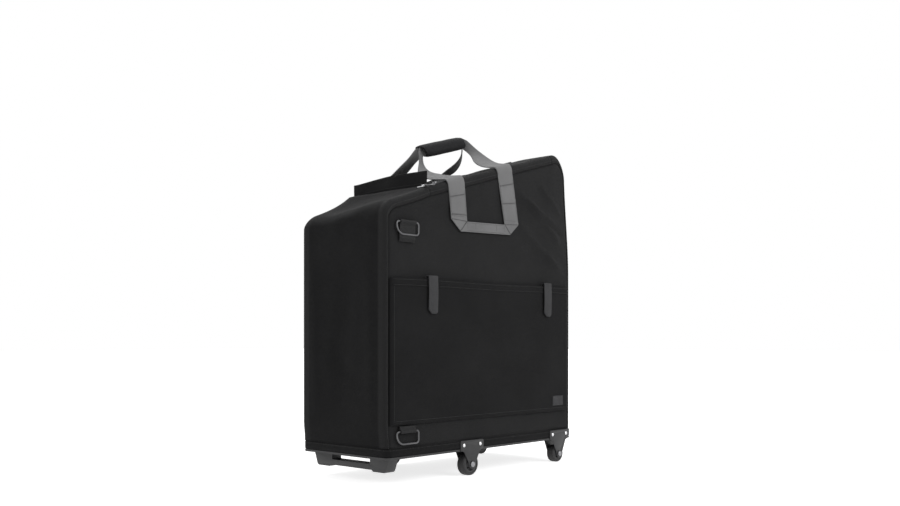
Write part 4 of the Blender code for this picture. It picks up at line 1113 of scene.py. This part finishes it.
def buildPocket():
    near = [pocket["edge"] * (1 - math.cos(math.pi / 2 * step / 6)) for step in range(7)]
    xs = [pocket["left"] + step for step in near]
    xs += evenly(xs[-1], pocket["right"] - near[-1], 92, 1)[:-1]
    xs += [pocket["right"] - step for step in near[::-1]]
    zs = [pocket["low"] + step for step in near]
    zs += evenly(zs[-1], pocket["high"], 46, 1)

    def place(u, v):
        x, z = alongList(xs, u), alongList(zs, v)
        z += (mouthLine(x) - pocket["high"]) * ramp(z, *pocket["dipZ"])
        return onPocket(x, z), (x, z)

    bm = clothGrid(len(xs) - 1, len(zs) - 1, place, toFront)
    linedCloth("pocket", bm, "front_pocket", pocket["wall"], "pocket")

    def placeHem(u, v):
        x = mixed(pocket["left"] + pocket["hemIn"], pocket["right"] - pocket["hemIn"], u)
        offset, drop = alongPoints(hemSection, v)
        z = mouthLine(x) + drop
        depth = pocketDepth(x, min(z, pocket["high"] - 0.001)) + offset
        y = -pocket["skin"] - max(depth, pocket["hemLeast"])
        return Vector((x, y, z)), (x, v * pocket["hemCloth"])

    bm = clothGrid(110, len(hemSection) - 1, placeHem, toFront)
    makePiece("pocket_hem_cloth", bm, "pocket", "bag", "pocket_hem")

    xs = evenly(pocket["left"] + pocket["hemRowIn"], pocket["right"] - pocket["hemRowIn"], 90)
    rows = [[onPocket(x, mouthLine(x) + drop, out) for x in xs]
            for drop, out in pocket["hemRows"]]
    inset, top = pocket["rowIn"], pocket["rowTop"]
    left, right, low = pocket["left"] + inset, pocket["right"] - inset, pocket["low"] + inset
    edge = [(left, z) for z in evenly(top, low, 40)]
    edge += [(x, low) for x in evenly(left, right, 80, 1)]
    edge += [(right, z) for z in evenly(low, top, 40, 1)]
    rows.append([onPocket(x, z, 0.0001) for x, z in edge])
    sewn("pocket_stitches", rows, "bag")


def buildLabel():
    wide, tall = label["wide"], label["tall"]

    def place(u, v):
        x, z = label["x"] + (u - 0.5) * wide, label["z"] + (v - 0.5) * tall
        rim = min(min(u, 1 - u) * wide, min(v, 1 - v) * tall)
        return onPocket(x, z, label["lift"] + label["thick"] * smooth(rim / label["rim"])), (x, z)

    makePiece("bare_label", clothGrid(40, 24, place, toFront), "label", "bag",
              "label_patch")
    corners = [Vector((label["x"] + a * (wide / 2 - label["row"]),
                       label["z"] + b * (tall / 2 - label["row"])))
               for a, b in ((-1, -1), (1, -1), (1, 1), (-1, 1))]
    row = [onPocket(*p, 0.0012) for p in evenLoop(corners, 48)]
    sewn("label_stitches", [row], "bag", 0.55)


def buildTabs():
    for side in ("left", "right"):
        middle, low = tab[side], tab["top"] - tab["length"]

        def place(u, v):
            down = v * tab["length"]
            wave = math.sin(math.pi * min(v * 1.1, 1)) * tab["wave"]
            x = middle + (u - 0.5) * tab["wide"]
            curl = tab["curl"] * (2 * u - 1) ** 2
            return Vector((x, tab["y"] - wave + curl, tab["top"] - down)), (x - middle, down)

        bm = clothGrid(10, 30, place, toFront)
        for way, cut in ((-1, tab["cut"]), (1, tab["clip"])):
            corner = Vector((middle + way * (tab["wide"] / 2 - cut), tab["y"], low))
            bmesh.ops.bisect_plane(bm, geom=bm.verts[:] + bm.edges[:] + bm.faces[:],
                                   plane_co=corner, plane_no=(way, 0, -1), clear_outer=True)
        piece = makePiece(side + "_tab_webbing", bm, "darkWebbing", side + "_tab",
                          "pocket_tab_" + side)
        roundEdges(thicken(piece, tab["thick"]), tab["edge"])
        skin, top = tab["y"] - tab["thick"] / 2 - tab["rowOut"], tab["top"] - tab["rowTop"]
        rows = [[(middle + a, skin - 0.0002, top) for a in (-0.012, 0.012)],
                [(middle + a, skin, low + b) for a, b in ((-0.0125, 0.0115), (-0.0050, 0.0035),
                                                          (0.0098, 0.0035), (0.0125, 0.0065))],
                [(middle + a, skin, low + 0.0135) for a in (-0.0125, 0.0125)]]
        sewn(side + "_tab_stitches", rows, side + "_tab", 0.8)

        def placeRoot(u, v):
            x = middle + (u - 0.5) * tab["wide"]
            return Vector((x, *alongPoints(tabRoute, v))), (x - middle, v * 0.03)

        bm = clothGrid(6, 18, placeRoot, Vector((0, -1, 0.4)))
        piece = makePiece(side + "_tab_fold", bm, "darkWebbing", "bag",
                          f"pocket_tab_{side}_root")
        roundEdges(thicken(piece, tab["rootThick"]), tab["rootEdge"])


# ---- D rings on their webbing loops: (name, height, tail) of each
ring = {"x": -0.2885, "y": -0.1504, "wide": 0.074, "drop": 0.033, "wire": 0.0022,
        "corner": 0.006, "lowCorner": 0.008, "bow": 0.022, "tabWide": 0.050, "tabThick": 0.0017,
        "loop": 0.0036, "skin": -0.1468, "front": 0.0032,
        "rings": (("upper", 0.599, -0.046), ("lower", 0.124, 0.0125))}


def buildRings():
    half, drop = ring["wide"] / 2 - ring["wire"], ring["drop"] - 2 * ring["wire"]
    corners = [(-half, 0), (half, 0), (half, -drop), (-half, -drop)]
    radii = [ring["corner"], ring["corner"], ring["lowCorner"], ring["bow"]]
    outline = roundLoop(corners, radii, 12)
    for name, height, tail in ring["rings"]:
        bm = bmesh.new()
        points = [(ring["x"] + p.x, ring["y"], height + p.y) for p in outline]
        curveMesh(bm, points, ring["wire"], True, 4)
        bmesh.ops.remove_doubles(bm, verts=bm.verts, dist=1e-5)
        makePiece(name + "_ring_wire", bm, "ring", name + "_ring", name + "_d_ring")

        # webbing loop: up the panel, round the wire and back down on its own tail
        way, skin = 1 if tail < 0 else -1, ring["skin"]
        route = [(skin, height + tail + 0.0008 * way), (skin, height)]
        for turn in [math.radians(15 * step) for step in range(17)]:
            route.append((ring["y"] + ring["loop"] * math.cos(turn),
                          height + way * ring["loop"] * math.sin(turn)))
        route += [(skin - 0.0026, height - way * min(0.0065, abs(tail) * 0.7)),
                  (skin - 0.0021, height - way * min(abs(tail) - 0.001, 0.040))]
        run = lengths(route)

        def place(u, v):
            x = ring["x"] + (u - 0.5) * ring["tabWide"]
            return Vector((x, *alongPoints(route, v))), (x, alongList(run, v))

        bm = clothGrid(10, (len(route) - 1) * 2, place, toFront)
        piece = makePiece(name + "_ring_loop", bm, "ringWebbing", "bag",
                          name + "_d_ring_tab")
        roundEdges(thicken(piece, ring["tabThick"]), 0.0005)
        side = ring["tabWide"] / 2 - 0.003
        high, foot = height - way * min(0.011, abs(tail) * 0.75), height - way * (abs(tail) - 0.004)
        rows = [[(-side, high), (side, high)]]
        if abs(tail) > 0.02:
            rows = [[(-side, high), (side, high), (side, foot), (-side, foot), (-side, high)],
                    [(-side, high), (side, foot)], [(-side, foot), (side, high)]]
        rows = [[(ring["x"] + a, skin - ring["front"], b) for a, b in row] for row in rows]
        sewn(name + "_ring_stitches", rows, "bag", 0.8)


print("base, pocket and rings")
buildBase()
buildPocket()
buildLabel()
buildTabs()
buildRings()


# ---- carrying handles: two loops of webbing and the padded wrap
# a leg's dips and asides bend its way into the wrap, its marks and folds are heights on it
web = {"thick": 0.0022, "wide": 0.056, "barTop": 0.617, "barWide": 0.025, "barRise": 0.006,
       "mitre": 0.034, "start": 0.003, "steps": 30, "runWide": 0.025, "runOffset": 0.0018,
       "runPast": 0.006, "crossSteps": 10, "crossRise": 0.006, "pullIn": 0.066,
       "crossTurn": 1.45, "pullRise": 0.004, "drift": 0.005, "sweep": 0.030,
       "rowHalf": 0.025, "sideHalf": 0.0255, "foldHalf": 0.0265, "boxIn": 0.030,
       "boxDrops": (0.003, 0.022), "boxPast": 0.004, "rowEnd": 0.008, "onPanel": 0.68,
       "fold": 0.0007, "mitreFold": 0.0009, "swing": (0.1560, 0.7), "keep": 0.05,
       "legs": {-1: {"foot": -0.110, "edge": -0.119, "dips": {-1: 0.060, 1: 0.030},
                     "asides": {-1: 0.010, 1: 0.025}, "marks": (0.008, 0.014, 0.056),
                     "folds": (0.012, 0.058)},
                1: {"foot": 0.0895, "edge": 0.064, "dips": {-1: 0.050, 1: 0.060},
                    "asides": {-1: 0.035, 1: 0.020}, "marks": (0.008, 0.050, 0.096),
                    "folds": (0.052, 0.098)}}}
grip = {"middle": Vector((-0.015, 0, 0.827)), "length": 0.150, "high": 0.034, "wide": 0.038,
        "thick": 0.0032, "corner": 0.72, "fill": 0.90, "lap": 0.0014, "turnFrom": math.radians(-62),
        "turnBy": math.radians(398), "squeeze": 0.10, "cuts": (0.010, 0.004),
        "puffs": (0.0010, 0.0007), "lapAt": (0.86, 0.05), "mouth": 0.10, "past": 0.004,
        "around": 0.11, "swing": (-0.1620, -0.1622), "keep": 0.10, "rowOut": 0.012}
feet = [leg["foot"] for leg in web["legs"].values()]


def topFrame(at):
    # the slanted top's own axes, from a point on it
    frameMatrix = Matrix((along, (0, 1, 0), above)).transposed().to_4x4()
    frameMatrix.translation = at
    return frameMatrix


def barHeight(x):
    return web["barTop"] + web["barRise"] * (x - feet[0]) / (feet[1] - feet[0])


def gripPoint(side, share):
    start = grip["middle"] + Vector((0, side * web["runOffset"], 0))
    return start + along * (grip["length"] / 2 + web["runPast"]) * share


def legStations(side, way):
    # (inner edge, outer edge) from the sewn bar up the panel, over the seam and into the wrap
    leg = web["legs"][way]
    lift = bag["gap"] + web["thick"] / 2
    skin = side * (bag["half"] + lift)
    foot = Vector((leg["foot"], skin, barHeight(leg["foot"]) + web["start"]))
    edge = Vector((leg["edge"], skin, topLine(leg["edge"], 1)))
    edge += draped(edge)
    half = way * web["wide"] / 2
    level, sloped = Vector((half, 0, 0)), Vector((half, 0, half * slopeTan))
    stations = []
    for share in evenly(0, 1, 12):
        centre, reach = foot.lerp(edge, share), level.lerp(sloped, share)
        stations.append((centre - reach, centre + reach))
    for turn in evenly(0, web["crossTurn"], web["crossSteps"], 1):
        inward = (bag["edgeAlong"] + lift) * (1 - math.cos(turn))
        rise = (bag["edgeTop"] + web["crossRise"]) * math.sin(turn)
        centre = edge + Vector((0, -side * inward, rise))
        stations.append((centre - sloped, centre + sloped))

    start, runEnd = centre, gripPoint(side, way)
    first = start + Vector((way * web["drift"], -side * web["pullIn"], web["pullRise"]))
    last = runEnd + along * way * web["sweep"] - above * leg["dips"][side]
    last += Vector((0, side * leg["asides"][side], 0))
    upright = above * web["runWide"] / 2
    for step in range(1, web["steps"]):
        far = step / web["steps"]
        near = 1 - far
        centre = start * near ** 3 + first * 3 * near ** 2 * far + last * 3 * near * far ** 2
        centre += runEnd * far ** 3
        heading = (first - start) * near ** 2 + (last - first) * 2 * near * far
        heading = (heading + (runEnd - last) * far ** 2).normalized()
        reach = sloped.lerp(upright, ramp(far, 0.40, 0.60))
        width = reach.length
        reach = (reach - heading * reach.dot(heading)).normalized() * width
        stations.append((centre - reach, centre + reach))
    return stations


def strapStations(side):
    # once round the loop: down one leg, along the bar, up the other leg and through the wrap
    skin, half = side * (bag["half"] + bag["gap"] + web["thick"] / 2), web["wide"] / 2
    bar = []
    for share in evenly(0, 1, 10):
        a = mixed(feet[0] + half, feet[1] - half, share)
        b = mixed(feet[0] - half + web["mitre"], feet[1] + half - web["mitre"], share)
        bar.append((Vector((a, skin, barHeight(a))),
                    Vector((b, skin, barHeight(b) - web["barWide"]))))
    reach = above * web["runWide"] / 2
    run = [(gripPoint(side, 1 - step / 6) - reach, gripPoint(side, 1 - step / 6) + reach)
           for step in range(13)]
    stations = legStations(side, -1)[::-1] + bar + legStations(side, 1) + run
    return stations + stations[:1]


def asideOfLid(piece):
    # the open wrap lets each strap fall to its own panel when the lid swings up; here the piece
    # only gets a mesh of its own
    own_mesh(piece)


def buildStrap(side, name):
    stations = strapStations(side)
    run = lengths([(a + b) / 2 for a, b in stations])

    def place(u, v):
        index, part = spotOn(stations, v)
        inner, outer = (a.lerp(b, part) for a, b in zip(stations[index], stations[index + 1]))
        return inner.lerp(outer, u), ((u - 0.5) * (outer - inner).length, alongList(run, v))

    bm = clothGrid(10, len(stations) - 1, place)
    bmesh.ops.remove_doubles(bm, verts=bm.verts, dist=1e-5)
    faceOut(bm, lambda point: -side * toFront if point.z < web["onPanel"] else Vector())
    strap = makePiece(name + "_strap_webbing", bm, "webbing", "bag",
                      name + "_handle_strap")
    thicken(strap, web["thick"], even=False)    # the webbing folds sharply at the wrap
    settle(roundEdges(strap, 0.0006))

    # stitch rows: across the legs and along them, and a box at each corner of the bar
    skin = side * (bag["half"] + bag["gap"] + web["thick"] + 0.0002)

    def flat(x, z):
        return (x, skin, z)

    def onLeg(leg, mark, aside):
        low = barHeight(leg["foot"]) + web["start"]
        share = mark / (topLine(leg["edge"], 1) - low)
        x = mixed(leg["foot"], leg["edge"], share) + aside
        return flat(x, low + mark + aside * slopeTan * share)

    rows = []
    for leg in web["legs"].values():
        ends = (-web["rowHalf"], web["rowHalf"])
        rows += [[onLeg(leg, mark, aside) for aside in ends] for mark in leg["marks"]]
        tall = topLine(leg["edge"], 1) - barHeight(leg["foot"]) - web["start"]
        rows += [[onLeg(leg, mark, aside)
                  for mark in evenly(web["rowEnd"], tall - web["rowEnd"], 3)]
                 for aside in (-web["sideHalf"], web["sideHalf"])]
    a, b = feet[0] + web["boxIn"], feet[1] - web["boxIn"]
    rows += [[flat(x, barHeight(x) - drop) for x in (a - web["boxPast"], b + web["boxPast"])]
             for drop in web["boxDrops"]]
    rows += [[flat(x, barHeight(x) - drop) for drop in web["boxDrops"]]
             for x in (a, b, a + web["boxIn"], b - web["boxIn"])]
    stitches = sewn(name + "_strap_stitches", rows, "bag", 0.9, "greyThread")

    # folded mitres: a thin doubled edge of webbing on each diagonal
    bm = bmesh.new()
    half = web["wide"] / 2
    for way, leg in web["legs"].items():
        foot = leg["foot"]
        innerX, outerX = foot - way * half, foot + way * (half - web["mitre"])
        corner = flat(innerX, barHeight(innerX) + 0.0005)
        tip = flat(outerX + way * 0.002, barHeight(outerX) - web["barWide"] + 0.001)
        curveMesh(bm, [corner, tip], web["mitreFold"])
        for mark in leg["folds"]:
            curveMesh(bm, [onLeg(leg, mark, web["foldHalf"] * aside) for aside in (-1, 0, 1)],
                      web["fold"])
        curveMesh(bm, [corner, flat(foot + way * (half - 0.001), barHeight(foot) + web["start"])],
                  web["fold"])
    folds = makePiece(name + "_strap_folds", bm, "greyThread", "bag")
    for piece in (strap, stitches, folds):
        asideOfLid(piece)


def buildWrap():
    # a padded sleeve closed over itself, with slanted open ends
    high, wide = grip["high"] / 2, grip["wide"] / 2
    sleeve = topFrame(grip["middle"])

    def rounded(part, size):
        return math.copysign(abs(part) ** grip["corner"], part) * size

    def place(u, v):
        # u goes once round from -Y and then on over itself, v along the sleeve
        turn = grip["turnFrom"] - u * grip["turnBy"]
        swell = grip["lap"] * ramp(u, *grip["lapAt"])
        y = -rounded(math.cos(turn), wide * grip["fill"] + swell)
        z = rounded(math.sin(turn), high * grip["fill"] + swell)
        nearCut, farCut = grip["cuts"]
        cut = -(z / high) * (nearCut * smooth((0.5 - v) * 2.2) + farCut * smooth((v - 0.5) * 2))
        squeeze = 1 - grip["squeeze"] * smooth(1 - min(v, 1 - v) / grip["mouth"])
        crown, uneven = grip["puffs"]
        puff = crown * math.sin(math.pi * v) + uneven * noise.noise(Vector((u * 3, v * 5, 1.5)))
        y, z = (part * squeeze + math.copysign(puff, part) for part in (y, z))
        x = (v - 0.5) * (grip["length"] + grip["past"])
        return sleeve @ Vector((x + cut, y, z)), (x, u * grip["around"])

    def fromAxis(point):
        away = point - grip["middle"]
        return away - along * away.dot(along)

    bm = clothGrid(64, 44, place, fromAxis)
    wrap = makePiece("padded_wrap", bm, "grip", "bag", "handle_wrap")
    settle(roundEdges(thicken(wrap, grip["thick"], -1), 0.0012, 3))
    asideOfLid(wrap)

    rows = []
    for v in (0.035, 0.965):
        row = [place(step / 60, v)[0] for step in range(52)]
        middle = row[0] - fromAxis(row[0])
        rows.append([middle + (point - middle) * (1 + grip["rowOut"]) for point in row])
    lap = [place(0.985, share)[0] for share in evenly(0.04, 0.96, 40)]
    rows.append([point + fromAxis(point) * grip["rowOut"] for point in lap])
    stitches = sewn("wrap_stitches", rows, "bag", 0.8)
    asideOfLid(stitches)


# ---- rain flap over the zip
flap = {"x": -0.190411, "foot": 0.69732, "tall": 0.036, "thick": 0.0020, "near": -0.116,
        "far": 0.139, "droop": 0.010, "tuck": 0.0006, "rows": (0.16, 0.90),
        "wave": 0.0012, "waves": 40, "droopY": (0.01, 0.13), "footShare": 0.35}


def buildFlap():
    # an upright strip of doubled cloth with a turned top, a little wavy
    def place(u, v):
        y, rise = mixed(flap["near"], flap["far"], u), v * (flap["tall"] - flap["tuck"])
        wave = ripples(Vector((0, y, 0)), (14, (1, 1, 1), 6.0, 0.0035))
        wave = (wave + flap["wave"] * math.sin(y * flap["waves"])) * smooth(v)
        drop = flap["droop"] * ramp(y, *flap["droopY"]) * mixed(flap["footShare"], 1, v)
        return Vector((flap["x"] + wave, y, flap["foot"] - flap["tuck"] + rise - drop)), (y, rise)

    bm = clothGrid(90, 14, place, toLow)
    piece = makePiece("flap_cloth", bm, "flap", "rain_flap", "rain_flap")
    roundEdges(thicken(piece, flap["thick"]), 0.0008)
    rows = [[place(share, v)[0] - toLow * out * (flap["thick"] / 2 + 0.0001)
             for share in evenly(0.02, 0.98, 60)] for out in (-1, 1) for v in flap["rows"]]
    sewn("flap_stitches", rows, "rain_flap", 0.8)


# ---- zip: two rows of coil on their tapes, and the topstitching beside them
zipRow = {"gap": 0.00015, "wide": 0.0030, "pitch": 0.0020, "high": 0.0017, "tooth": 0.86,
          "turn": 0.004, "coilDrop": -0.0010, "tapeDrop": -0.0024, "tape": 0.0006}
topRows = {"stripStart": -0.210, "stripStop": 0.260, "stripY": 0.1345, "stripLift": -0.0004,
           "lidStart": -0.1985, "lidStop": 0.258, "lidY": 0.1195, "lidLift": 0.0002}


def buildZip():
    slab = topFrame((0, 0, bag["topMid"]))
    for name, way, body in (("body", 1, "bag"), ("lid", -1, "lid")):
        offset = way * (zipRow["gap"] + zipRow["wide"] / 2)
        end = (bag["hingeX"] - bag["gap"]) / slopeCos
        x, y, turn = bag["zipX"] / slopeCos - offset, bag["zipY"] + offset, zipRow["turn"]
        corner = [(x + turn * (1 - math.sin(t)), y - turn * (1 - math.cos(t)))
                  for t in evenly(0, math.pi / 2, 6)]
        side = evenly(end, corner[0][0], 40)[:-1]
        row = [(a, -y) for a in side] + [(a, -b) for a, b in corner] + corner[::-1]
        row += [(a, y) for a in side[::-1]]
        bm = bmesh.new()
        tooth = bead(8, 5, (zipRow["pitch"] * zipRow["tooth"], zipRow["wide"], zipRow["high"]),
                     zipRow["pitch"])
        repeatAlong(bm, tooth, [(a, b, zipRow["coilDrop"]) for a, b in row], zipRow["pitch"])
        bmesh.ops.transform(bm, matrix=slab, verts=bm.verts)
        makePiece(name + "_zip_coil", drapeMesh(bm), "coil", body,
                  name + "_zip_teeth")

        points = [Vector((a, b, zipRow["tapeDrop"])) for a, b in row]
        run = lengths(points)

        def place(u, v):
            index, part = spotOn(points, v)
            heading = (points[index + 1] - points[index]).normalized()
            out = Vector((heading.y, -heading.x, 0))
            point = points[index].lerp(points[index + 1], part) + out * (u - 0.5) * zipRow["wide"]
            return slab @ point, (u * zipRow["wide"], alongList(run, v))

        bm = drapeMesh(clothGrid(3, len(points) - 1, place, above))
        tape = makePiece(name + "_zip_tape", bm, "tape", body)
        thicken(tape, zipRow["tape"], -1)

    def onTop(points, lift):
        return drapedRow([Vector((x, y, topLine(x))) + above * lift for x, y in points])

    rows = [onTop([(x, side * topRows["stripY"])
                   for x in evenly(topRows["stripStart"], topRows["stripStop"], 40)],
                  topRows["stripLift"]) for side in (-1, 1)]
    sewn("strip_stitches", rows, "bag")
    start, stop, aside = topRows["lidStart"], topRows["lidStop"], topRows["lidY"]
    row = [(x, -aside) for x in evenly(stop, start, 50)]
    row += [(start, y) for y in evenly(-aside, aside, 24, 1)]
    row += [(x, aside) for x in evenly(start, stop, 50, 1)]
    sewn("lid_stitches", [onTop(row, topRows["lidLift"])], "lid")


print("straps, wrap, flap and zip")
for side, name in ((-1, "front"), (1, "rear")):
    buildStrap(side, name)
buildWrap()
buildFlap()
buildZip()


# ---- rigid pieces, copied from their CAD nodes with welded corners and worn edges
def refined(node, paint, body="bag", edge=0.0004, steps=2, angle=28):
    bm = bmesh.new()
    bm.from_mesh(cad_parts[node].data)
    bmesh.ops.remove_doubles(bm, verts=bm.verts, dist=2e-6)
    bmesh.ops.dissolve_limit(bm, angle_limit=math.radians(2), verts=bm.verts, edges=bm.edges)
    piece = makePiece(node + "_finish", bm, paint, body, node)
    roundEdges(piece, edge, steps, angle).modifiers["roundedEdges"].use_clamp_overlap = True
    return piece


caster = {"xs": {"mid": -0.065, "end": 0.293}, "radii": {"mid": 0.028, "end": 0.023},
          "y": 0.1342, "wide": 0.024, "tyre": 0.0075, "hubWide": 0.022, "spokes": 6,
          "bore": 0.0043, "rim": 0.0040, "boss": 0.0085, "web": 0.0045,
          "spoke": (0.0018, 0.0040), "spokeOut": 0.0060}
foot = {"middle": -0.313, "shift": -0.007, "keep": 0.72}


def buildWheel(name, which, side):
    radius, half = caster["radii"][which], caster["wide"] / 2
    stand = Matrix.Translation((caster["xs"][which], side * caster["y"], radius))
    stand @= Matrix.Rotation(math.pi / 2, 4, "X")
    inner = radius - caster["tyre"]

    def standUp(bm, ending, paint, node):
        bmesh.ops.transform(bm, matrix=stand, verts=bm.verts)
        makePiece(name + ending, bm, paint, name + "_wheel", name + node)

    tread = [(inner + 0.0003, half - 0.0006), (inner + 0.0012, half), (radius - 0.0052, half)]
    for turn in [math.radians(90 - step * 12) for step in range(1, 8)]:
        tread.append((radius - 0.0050 + 0.0048 * math.cos(turn),
                      half - 0.0052 + 0.0052 * math.sin(turn)))
    tread += [(radius, 0.0046), (radius, 0.0016), (radius - 0.0005, 0.0010), (radius - 0.0005, 0)]
    tread += [(r, -z) for r, z in tread[::-1][1:]]
    standUp(latheMesh(tread), "_tyre_tread", "tyre", "_tyre")

    # hub: rim, dished web with ribs, and a boss
    rim, boss = inner - caster["rim"], caster["boss"]
    wide, disc = caster["hubWide"] / 2, caster["web"]
    hub = [(caster["bore"], wide), (boss - 0.0007, wide), (boss, wide - 0.0007),
           (boss + 0.0012, disc), (rim - 0.0016, disc), (rim, wide - 0.0008), (rim + 0.0008, wide),
           (inner - 0.0006, wide), (inner, wide - 0.0006)]
    bm = latheMesh(hub + [(r, -z) for r, z in hub[::-1]])
    for face in (-1, 1):
        for step in range(caster["spokes"]):
            made = bmesh.ops.create_cube(bm, size=1)["verts"]
            turn = Matrix.Rotation(math.tau * step / caster["spokes"], 3, "Z")
            bmesh.ops.scale(bm, vec=(rim - boss + 0.0012, *caster["spoke"]), verts=made)
            out = face * caster["spokeOut"]
            bmesh.ops.translate(bm, vec=((rim + boss) / 2, 0, out), verts=made)
            bmesh.ops.rotate(bm, matrix=turn, verts=made)
    standUp(bm, "_hub_moulding", "hub", "_hub")


def buildCasters():
    for which in caster["xs"]:
        for sideName, side in (("front", -1), ("rear", 1)):
            name = which + "_" + sideName
            buildWheel(name, which, side)
            refined(name + "_bracket", "blackSteel")
            refined(name + "_axle_bolt", "bolt")
            for end in ("low", "tall"):
                refined(f"{name}_rivet_{end}", "steel", steps=3, angle=20)


def buildFoot():
    # the foot is drawn narrower in X than its CAD node
    moulding = refined("lift_foot", "foot", edge=0.0014, steps=3, angle=40)
    for vert in moulding.data.vertices:
        vert.co.x = mixed(foot["middle"], vert.co.x + foot["shift"], foot["keep"])
    for end in ("front", "rear"):
        refined("foot_screw_" + end, "blackSteel", edge=0.0003)
    for way, bright in (("cross", "nickel"), ("front", "darkNickel")):
        refined(way + "_zip_slider", bright, way + "_slider", 0.0004, 2, 30)
        refined(way + "_zip_puller", "darkNickel", way + "_puller", 0.0003, 2, 30)


print("casters, foot and sliders")
buildCasters()
buildFoot()
